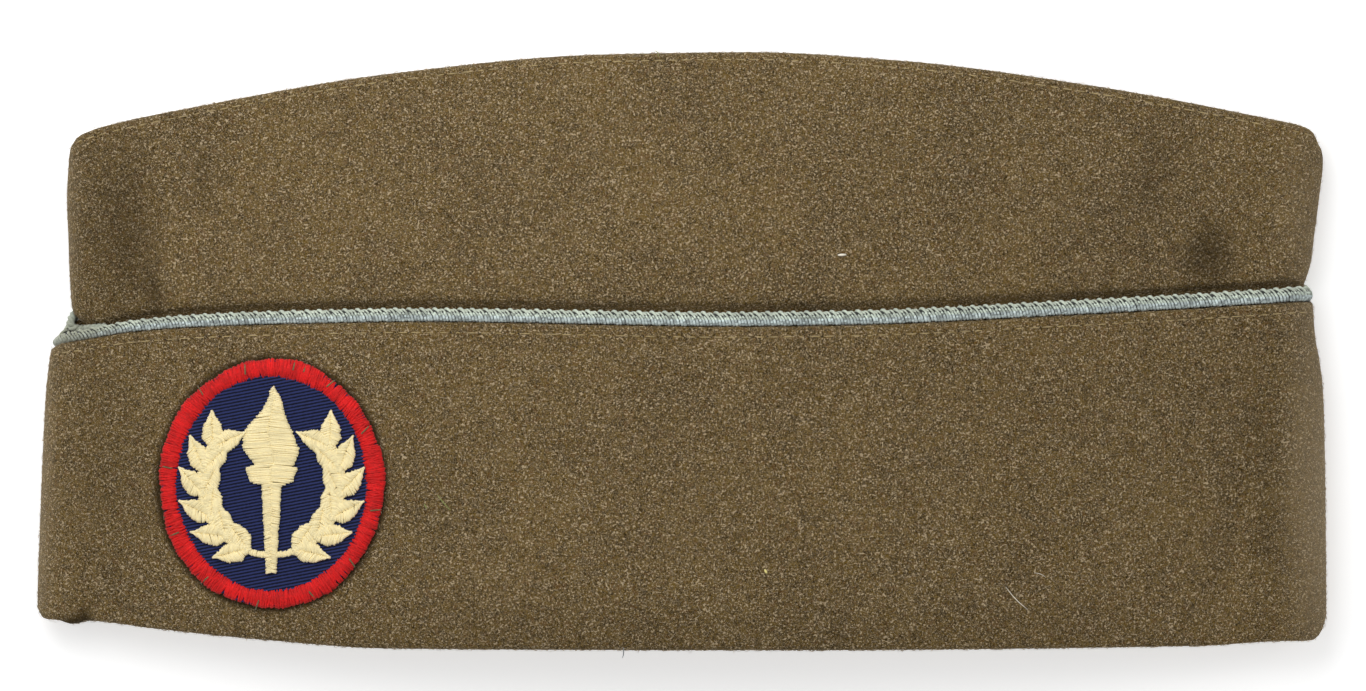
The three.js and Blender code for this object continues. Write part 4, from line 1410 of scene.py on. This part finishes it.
def satin(start, end, lift, thread, floor):
    """Stitches between two rows of flat points. Each one is an arch that reaches down to the floor."""
    t = np.linspace(0, 1, SATIN_STEPS)[None, :, None]
    flat = lerp(start[:, None], end[:, None], t)
    arch = np.sin(math.pi * lerp(*SATIN_ARCH, t[..., 0])) ** 0.5
    top = floor + lift[:, None] * arch
    paths = drape(flat, (top + floor) / 2)
    half_height = (top - floor) / 2
    return threads(paths, straight_up(paths), thread * np.ones_like(half_height), half_height, SATIN_SIDES)


BORDER_LAYERS = (
    {"shift": 0.0, "grow": 0.0, "lift": 0.86},
    {"shift": 0.5, "grow": 0.12, "lift": 1.0},
)
BORDER_WANDER = (
    {"size": 0.22, "times": 5, "start": 1},
    {"size": 0.15, "times": 11, "start": 0},
    {"size": 0.1, "times": 29, "start": 0},
)
BORDER_OUTER_ENDS = (-0.16, 0.14)
BORDER_INNER_ENDS = (-0.15, 0.15)
INNER_WANDER = 0.5
BORDER_LEAN = 0.014
BORDER_LIFTS = (0.92, 1.04)
BORDER_THREAD = 0.85


def border_mesh(settings):
    """Radial stitches in two layers, with ragged ends, and the finish of each face."""
    rng = np.random.default_rng(SEEDS["border"])
    girth = math.pi * (PATCH_WIDTH + PATCH_HEIGHT) / 2
    count = round(girth / settings.border_pitch)
    parts = []
    for layer in BORDER_LAYERS:
        angle = (np.arange(count) + layer["shift"]) / count * 2 * math.pi
        wander = ripples(angle, BORDER_WANDER)
        out = layer["grow"] + wander + rng.uniform(*BORDER_OUTER_ENDS, count)
        inner = BORDER_WIDTH + wander * INNER_WANDER + layer["grow"] + rng.uniform(*BORDER_INNER_ENDS, count)
        lean = rng.normal(0, BORDER_LEAN, count)
        height = BORDER_THICKNESS * layer["lift"] * rng.uniform(*BORDER_LIFTS, count)
        start, end = patch_edge(-out, angle + lean), patch_edge(inner, angle - lean)
        parts.append(satin(start, end, height, settings.border_pitch * BORDER_THREAD, 0.0))
    return joined(parts), stitch_tones(parts, SEEDS["border tones"])


# Emblem: a torch between two laurel branches, in shares of half the emblem's height
TORCH = {
    "up": (-.93, -.02, .02, .16, .18, .36, .54, .74, .98),
    "half": (.05, .1, .22, .27, .2, .29, .25, .12, .02),
}
LEAF = {
    "along": (-.05, .3, .65, 1),
    "wide": (.15, 1, .85, .05),
}
LEAVES_A_BRANCH = 6
LEAF_LEAN = math.radians(34)
LEAF_LENGTH = 0.36
LEAF_HALF = 0.11
LEAF_LIFT = 0.95
LEAF_VEIN, LEAF_EDGE = 0.06, -0.05
STEM_NARROW, STEM_WIDEN = 0.985, 1.07
STEM_LIFT = 0.7
BRANCH_RADIUS = 0.72
BRANCH_START, BRANCH_END = -math.pi / 2, math.radians(36)
FIRST_LEAF, LAST_LEAF = 0.16, 0.97
FLAME_FROM = TORCH["up"][4]
TORCH_LIFT = 1.0
FLAME_SWAY, FLAME_TURNS = 0.03, 9
TORCH_SEAM = (0.012, 0.02)
EMBLEM_THREAD = 0.82
EMBLEM_ROUGH = 0.09
EMBLEM_LIFTS = (0.94, 1.05)


def branch_point(t, side):
    angle = lerp(BRANCH_START, BRANCH_END, t)
    return np.stack((side * BRANCH_RADIUS * np.cos(angle), BRANCH_RADIUS * np.sin(angle)), axis=-1)


def torch_stitches(pitch):
    """Two rows of stitches that meet at a seam up the torch's middle, where the flame sways."""
    up = np.arange(TORCH["up"][0], TORCH["up"][-1], pitch)
    half = np.interp(up, TORCH["up"], TORCH["half"])
    middle = np.where(up > FLAME_FROM, FLAME_SWAY * np.sin(FLAME_TURNS * up), 0.0)
    past, rise = TORCH_SEAM
    edge = {side: np.stack((middle + side * half, up), axis=-1) for side in (-1, 1)}
    seam = {side: np.stack((middle + side * past, up + rise), axis=-1) for side in (-1, 1)}
    return [
        {"start": edge[-1], "end": seam[1], "lift": TORCH_LIFT},
        {"start": seam[-1], "end": edge[1], "lift": TORCH_LIFT},
    ]


def leaf_stitches(root, angle, side, pitch):
    """Two rows of stitches, from a leaf's vein to each of its edges."""
    way = np.array((side * math.cos(angle), math.sin(angle)))
    across = np.array((-side * math.sin(angle), math.cos(angle)))
    share = np.arange(LEAF["along"][0], LEAF["along"][-1], pitch / LEAF_LENGTH)
    wide = np.interp(share, LEAF["along"], LEAF["wide"]) * LEAF_HALF
    spine = root + share[:, None] * LEAF_LENGTH * way
    vein = spine + LEAF_VEIN * LEAF_LENGTH * way
    edges = (spine + turn * wide[:, None] * across + LEAF_EDGE * LEAF_LENGTH * way for turn in (-1, 1))
    return [{"start": vein, "end": edge, "lift": LEAF_LIFT} for edge in edges]


def branch_stitches(side, pitch):
    """A curved stem with a pair of leaves at each node."""
    sweep = BRANCH_END - BRANCH_START
    stem = branch_point(np.linspace(0, 1, round(BRANCH_RADIUS * sweep / pitch)), side)
    rows = [{"start": stem * STEM_NARROW, "end": stem * STEM_WIDEN, "lift": STEM_LIFT}]
    for t in np.linspace(FIRST_LEAF, LAST_LEAF, LEAVES_A_BRANCH):
        for lean in (-LEAF_LEAN, LEAF_LEAN):
            rows += leaf_stitches(branch_point(t, side), sweep * t + lean, side, pitch)
    return rows


def emblem_mesh(settings):
    """The torch and its branches in satin stitches, with the finish of each face."""
    rng = np.random.default_rng(SEEDS["emblem"])
    half_size = EMBLEM_SHARE * PATCH_HEIGHT / 2
    floor = PATCH_CLOTH + PLY_GAP / 2
    pitch = settings.emblem_pitch / half_size
    parts = []
    for row in (*torch_stitches(pitch), *branch_stitches(-1, pitch), *branch_stitches(1, pitch)):
        height = EMBLEM_THICKNESS * row["lift"] * rng.uniform(*EMBLEM_LIFTS, len(row["start"]))
        start, end = (
            row[key] * half_size + rng.normal(0, EMBLEM_ROUGH, row[key].shape) for key in ("start", "end")
        )
        parts.append(satin(start, end, height, settings.emblem_pitch * EMBLEM_THREAD, floor))
    return joined(parts), stitch_tones(parts, SEEDS["emblem tones"])


# Hand stitches over the border, at angles round it in degrees
TACKS = (28, 56, 72, 78, 104, 130, 172, 205, 232, 262, 293, 318, 348)
TACK_FROM, TACK_TO = -0.5, 1.7
TACK_SHIFTS = (-0.4, 0.9)
TACK_LEAN = 0.03
TACK_HALF = 0.15
TACK_STEPS = 6
TACK_SIDES = 6
# A tack's height at some insets from the border's edge
TACK_RISE = {
    "inset": (-0.6, 0.2, 1.4),
    "lift": (0.1, 0.62 * BORDER_THICKNESS, 1.04 * BORDER_THICKNESS),
}


def tacking_mesh():
    """Hand stitches that hold the patch, over its border."""
    rng = np.random.default_rng(SEEDS["tacks"])
    angle = np.radians(TACKS)[:, None]
    t = np.linspace(0, 1, TACK_STEPS)[None]
    inset = lerp(TACK_FROM, TACK_TO, t) + rng.uniform(*TACK_SHIFTS, angle.shape)
    turn = angle + rng.uniform(-TACK_LEAN, TACK_LEAN, angle.shape) * t
    lift = np.interp(inset, TACK_RISE["inset"], TACK_RISE["lift"])
    paths = drape(patch_edge(inset, turn), lift)
    half = TACK_HALF * np.ones_like(lift)
    return threads(paths, straight_up(paths), half, half, TACK_SIDES)


# Lint: place, length and half thickness in mm, turn in degrees, bend in half turns, tone
LINT = {
    "white bit": {"x": 35.1, "y": 21.5, "length": 1.9, "turn": 3, "bend": 0, "half": 0.3, "tone": 0},
    "yellow speck": {"x": 18.6, "y": -49.2, "length": 1.0, "turn": -62, "bend": 0, "half": 0.3, "tone": 1},
    "light hair": {"x": 72.9, "y": -53.2, "length": 7.2, "turn": -57, "bend": .11, "half": 0.09, "tone": 0},
    "short hair": {"x": 79.3, "y": -50.1, "length": 2.8, "turn": 5, "bend": -0.25, "half": 0.06, "tone": 0},
    "green wisp": {"x": -55.0, "y": -32.5, "length": 4.5, "turn": -55, "bend": .05, "half": 0.14, "tone": 2},
    "green scrap": {"x": -58.0, "y": -34.5, "length": 1.3, "turn": -62, "bend": 0, "half": 0.16, "tone": 2},
    "ridge wisp": {"x": -5.4, "y": 66.4, "length": 1.9, "turn": 60, "bend": 0.6, "half": 0.1, "tone": 2},
    "rim wisp": {"x": -13.2, "y": -66.8, "length": 2.4, "turn": -75, "bend": -0.2, "half": 0.13, "tone": 3},
}
LINT_STEPS = 8
LINT_SIDES = 6
LINT_ARCH = 0.15


def shown_level(x, y):
    """Height of the cloth along a short path on the side that faces up."""
    braid = height_from(curve_through(PIPING_LINE["left"], "at", "height", share_of_length(x)))
    tuck = braid + braid_half(x) + PLY_GAP
    if y[0] > tuck[0]:
        return side_level(x, y, crown_outline, CROWN_INSET) + swell_between(y, tuck, ridge_at(x))
    return side_level(x, y, curtain_outline, 0.0)


def lint_mesh():
    """Bits of lint and hair that cling to the wool, with the finish of each face."""
    parts, marks = [], []
    t = np.linspace(0, 1, LINT_STEPS + 1)
    middle = np.sin(math.pi * t)
    for bit in LINT.values():
        angle = math.radians(bit["turn"]) + bit["bend"] * math.pi * t
        step = bit["length"] / LINT_STEPS
        x = bit["x"] + np.concatenate(([0], np.cumsum(np.cos(angle[1:])))) * step
        y = bit["y"] + np.concatenate(([0], np.cumsum(np.sin(angle[1:])))) * step
        path = np.stack((x, y, shown_level(x, y) + bit["half"] + LINT_ARCH * middle), axis=-1)[None]
        half = bit["half"] * (0.5 + 0.5 * middle)[None]
        parts.append(threads(path, straight_up(path), half, half, LINT_SIDES))
        marks.append(np.full(len(parts[-1][1]), bit["tone"]))
    return joined(parts), np.concatenate(marks)


# Operators

# How the threads vary and shine
RED_SATIN = {"vary": 0.2, "roughness": 0.6, "sheen": 0.12}
CREAM_SATIN = {"vary": 0.06, "size": 0.6}
BRAID_VARY = 0.2
# Near-black tone of the braid's core: painted shade in the gaps between its yarns
CORE_PAINTED_SHADE = 0.06
LINT_VARY = 0.1


def cloth_detail(side, settings):
    """Mesh spacing and number of nap fibres for a side: coarser where it lies on the floor."""
    if side == "left":
        return settings.grid, settings.nap
    return settings.hidden_grid, settings.hidden_nap


class CAP_OT_crown(bpy.types.Operator):
    """Make the two side panels of the crown and their topstitching"""

    bl_idname = "cap.crown"
    bl_label = "Crown"

    def execute(self, context):
        settings = context.scene.garrison_cap.cloth
        wool = wool_finish(settings, "olive_wool_crown")
        thread = thread_finish("topstitch_thread", settings.topstitch)
        hole = pit_finish("crown_needle_marks", settings)
        fibre = thread_finish("crown_nap_fibre", settings.wool_fibre, roughness=FIBRE_ROUGHNESS)
        for side in SIDES:
            grid, nap = cloth_detail(side, settings)
            ply = crown_mesh(side, grid)
            panel = mesh_object(f"crown_cloth_{side}", *ply, [wool])
            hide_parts(f"crown_{side}")
            on_it = [
                stitch_object(f"crown_topstitch_{side}", topstitch(side, settings), [thread, hole]),
                mesh_object(f"crown_nap_{side}", *nap_mesh(*ply, nap, SEEDS["crown nap"]), [fibre]),
            ]
        return {"FINISHED"}


class CAP_OT_gusset(bpy.types.Operator):
    """Make the top inset that is folded down between the crown's two sides"""

    bl_idname = "cap.gusset"
    bl_label = "Top gusset"

    def execute(self, context):
        wool = wool_finish(context.scene.garrison_cap.cloth, "olive_wool_gusset")
        gusset = mesh_object("gusset_cloth", *gusset_mesh(), [wool])
        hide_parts("crown_gusset")
        return {"FINISHED"}


class CAP_OT_curtain(bpy.types.Operator):
    """Make the turn-up band on both sides, with the stitching below its edge"""

    bl_idname = "cap.curtain"
    bl_label = "Curtain"

    def execute(self, context):
        settings = context.scene.garrison_cap.cloth
        wool = wool_finish(settings, "olive_wool_curtain", paint_patch_shadow=True)
        thread = thread_finish("edge_stitch_thread", settings.topstitch)
        hole = pit_finish("curtain_needle_marks", settings)
        fibre = thread_finish("curtain_nap_fibre", settings.wool_fibre, roughness=FIBRE_ROUGHNESS)
        for side in SIDES:
            grid, nap = cloth_detail(side, settings)
            ply = curtain_mesh(side, grid)
            band = mesh_object(f"curtain_cloth_{side}", *ply, [wool])
            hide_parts(f"curtain_{side}")
            on_it = [
                stitch_object(f"curtain_stitch_{side}", edge_stitch(side, settings), [thread, hole]),
                mesh_object(f"curtain_nap_{side}", *nap_mesh(*ply, nap, SEEDS["curtain nap"]), [fibre]),
            ]
        return {"FINISHED"}


class CAP_OT_lint(bpy.types.Operator):
    """Make the bits of lint that cling to the wool"""

    bl_idname = "cap.lint"
    bl_label = "Lint"

    def execute(self, context):
        settings = context.scene.garrison_cap.lint
        bits, marks = lint_mesh()
        finishes = [
            thread_finish(f"{name}_lint", getattr(settings, name), LINT_VARY)
            for name in ("pale", "yellow", "green", "grey")
        ]
        mesh_object("lint", *bits, finishes, marks)
        return {"FINISHED"}


class CAP_OT_braid(bpy.types.Operator):
    """Make the braided piping along the curtain's top edge"""

    bl_idname = "cap.braid"
    bl_label = "Edge braid"

    def execute(self, context):
        settings = context.scene.garrison_cap.braid
        finishes = [
            thread_finish("braid_core_cord", shade(settings.body, CORE_PAINTED_SHADE), BRAID_VARY),
            thread_finish("braid_edge_strand", settings.edge, BRAID_VARY, dull=settings.dull),
        ]
        for name, color in (("face", settings.body), ("lower", settings.lower)):
            finishes += [
                thread_finish(f"braid_{name}_yarn_{i}", shade(color, tone), BRAID_VARY, dull=settings.dull)
                for i, tone in enumerate(settings.face_tones)
            ]
        line = BraidLine()
        core, yarns = braid_core(line), braid_yarns(line, settings)
        edge, lap = braid_edge(line, settings), braid_lap()
        marks = np.concatenate((
            np.full(len(core[1]), CORE_FINISH), yarn_marks(yarns[1]),
            np.full(len(edge[1]), EDGE_FINISH), np.full(len(lap[1]), FACE_FINISH + 1),
        ))
        braid = mesh_object("edge_braid", *joined((core, yarns, edge, lap)), finishes, marks)
        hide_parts("edge_piping")
        return {"FINISHED"}


class CAP_OT_patch(bpy.types.Operator):
    """Make the round patch: twill, satin border, emblem and hand stitches"""

    bl_idname = "cap.patch"
    bl_label = "Patch"

    def execute(self, context):
        settings = context.scene.garrison_cap.patch
        twill = twill_finish(settings)
        red = [
            thread_finish(f"red_satin_thread_{i}", shade(settings.border, tone), **RED_SATIN)
            for i, tone in enumerate(settings.border_tones)
        ]
        cream = [
            thread_finish(f"cream_satin_thread_{i}", shade(settings.emblem, tone), **CREAM_SATIN)
            for i, tone in enumerate(settings.emblem_tones)
        ]
        olive = thread_finish("tacking_thread", settings.tacking)
        ground = mesh_object("patch_twill", *ground_mesh(settings), [twill])
        stitches, marks = border_mesh(settings)
        border = mesh_object("patch_satin_border", *stitches, red, marks)
        stitches, marks = emblem_mesh(settings)
        emblem = mesh_object("patch_satin_emblem", *stitches, cream, marks)
        tacks = mesh_object("patch_tacking", *tacking_mesh(), [olive])
        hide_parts("patch_ground")
        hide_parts("patch_border")
        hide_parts("patch_emblem")
        return {"FINISHED"}


# What the photo shows, in mm: its width on the cap, its middle and the level that it is sharp at
PHOTO_WIDTH = 309.3
PHOTO_MIDDLE = (0.23, 1.13)
SHARP_LEVEL = 8.0
SENSOR = 36.0
CAMERA_CLIP = (0.1, 20)
# Soft lights: place and size in metres, and the setting that holds the power
LIGHTS = {
    "ridge_softbox": {"place": (-0.15, 0.3, 0.45), "power": "key", "size": 0.5},
    "front_softbox": {"place": (-1.3, 0.1, 1.0), "power": "side", "size": 1.0},
    "back_softbox": {"place": (1.3, 0.1, 1.0), "power": "side", "size": 1.0},
    "rim_softbox": {"place": (0.0, -1.1, 1.2), "power": "rim", "size": 1.2},
}
FLOOR_HALF = 3.0
FLOOR_BELOW = 0.0001
PAPER = (0.9, 0.9, 0.9, 1)
PAPER_GLOW = 0.45


class CAP_OT_stage(bpy.types.Operator):
    """Set the floor, the lights and the camera straight above the cap"""

    bl_idname = "cap.stage"
    bl_label = "Stage"

    def execute(self, context):
        settings = context.scene.garrison_cap.stage
        self.floor()
        self.camera(context.scene, settings)
        world = bpy.data.worlds.new("studio")
        context.scene.world = world
        world.use_nodes = True
        background = world.node_tree.nodes["Background"]
        background.inputs["Color"].default_value = (1, 1, 1, 1)
        background.inputs["Strength"].default_value = settings.world
        context.scene.view_settings.view_transform = "Standard"
        for name, light in LIGHTS.items():
            self.light(name, light["place"], getattr(settings, light["power"]), light["size"])
        return {"FINISHED"}

    def floor(self):
        corners = [(FLOOR_HALF * x, FLOOR_HALF * y, 0) for x, y in ((-1, -1), (1, -1), (1, 1), (-1, 1))]
        mesh = bpy.data.meshes.new("studio_floor")
        mesh.from_pydata(corners, [], [(0, 1, 2, 3)])
        paper = Finish("white_paper", 0.9)
        paper.shader.inputs["Base Color"].default_value = PAPER
        paper.shader.inputs["Emission Color"].default_value = (1, 1, 1, 1)
        paper.shader.inputs["Emission Strength"].default_value = PAPER_GLOW
        mesh.materials.append(paper.material)
        floor = bpy.data.objects.new("studio_floor", mesh)
        floor.location.z = CAD_LOW.z - FLOOR_BELOW
        bpy.context.scene.collection.objects.link(floor)

    def camera(self, scene, settings):
        data = bpy.data.cameras.new("photo_camera")
        data.sensor_width = SENSOR
        data.lens = settings.lens
        data.clip_start, data.clip_end = CAMERA_CLIP
        camera = bpy.data.objects.new("photo_camera", data)
        far = PHOTO_WIDTH * settings.lens / SENSOR + SHARP_LEVEL
        camera.location = (PHOTO_MIDDLE[0] * MM, PHOTO_MIDDLE[1] * MM, far * MM)
        scene.collection.objects.link(camera)
        scene.camera = camera

    def light(self, name, place, power, size):
        data = bpy.data.lights.new(name, "AREA")
        data.energy = power
        data.size = size
        lamp = bpy.data.objects.new(name, data)
        lamp.location = place
        lamp.rotation_euler = lamp.location.to_track_quat("Z", "Y").to_euler()
        bpy.context.scene.collection.objects.link(lamp)


OPERATORS = (
    CAP_OT_crown, CAP_OT_gusset, CAP_OT_curtain, CAP_OT_braid, CAP_OT_patch, CAP_OT_lint, CAP_OT_stage,
)


class CAP_PT_sidebar(bpy.types.Panel):
    """Sizes and colours of the cap, and what makes its pieces"""

    bl_idname = "CAP_PT_sidebar"
    bl_label = "Garrison Cap"
    bl_space_type = "VIEW_3D"
    bl_region_type = "UI"
    bl_category = "Cap"

    def draw(self, context):
        for operator in OPERATORS:
            self.layout.operator(operator.bl_idname)
        settings = context.scene.garrison_cap
        for group in (settings.cloth, settings.braid, settings.patch, settings.lint, settings.stage):
            box = self.layout.box()
            for key in group.__annotations__:
                box.prop(group, key)


CLASSES = (
    CapClothSettings, CapBraidSettings, CapPatchSettings, CapLintSettings, CapStageSettings, CapSettings,
    *OPERATORS, CAP_PT_sidebar,
)


def register():
    for item in CLASSES:
        bpy.utils.register_class(item)
    bpy.types.Scene.garrison_cap = PointerProperty(type=CapSettings)


def unregister():
    del bpy.types.Scene.garrison_cap
    for item in reversed(CLASSES):
        bpy.utils.unregister_class(item)


def main():
    register()
    bpy.ops.cap.crown()
    bpy.ops.cap.gusset()
    bpy.ops.cap.curtain()
    bpy.ops.cap.braid()
    bpy.ops.cap.patch()
    bpy.ops.cap.lint()
    bpy.ops.cap.stage()
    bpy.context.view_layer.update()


if __name__ == "__main__":
    main()
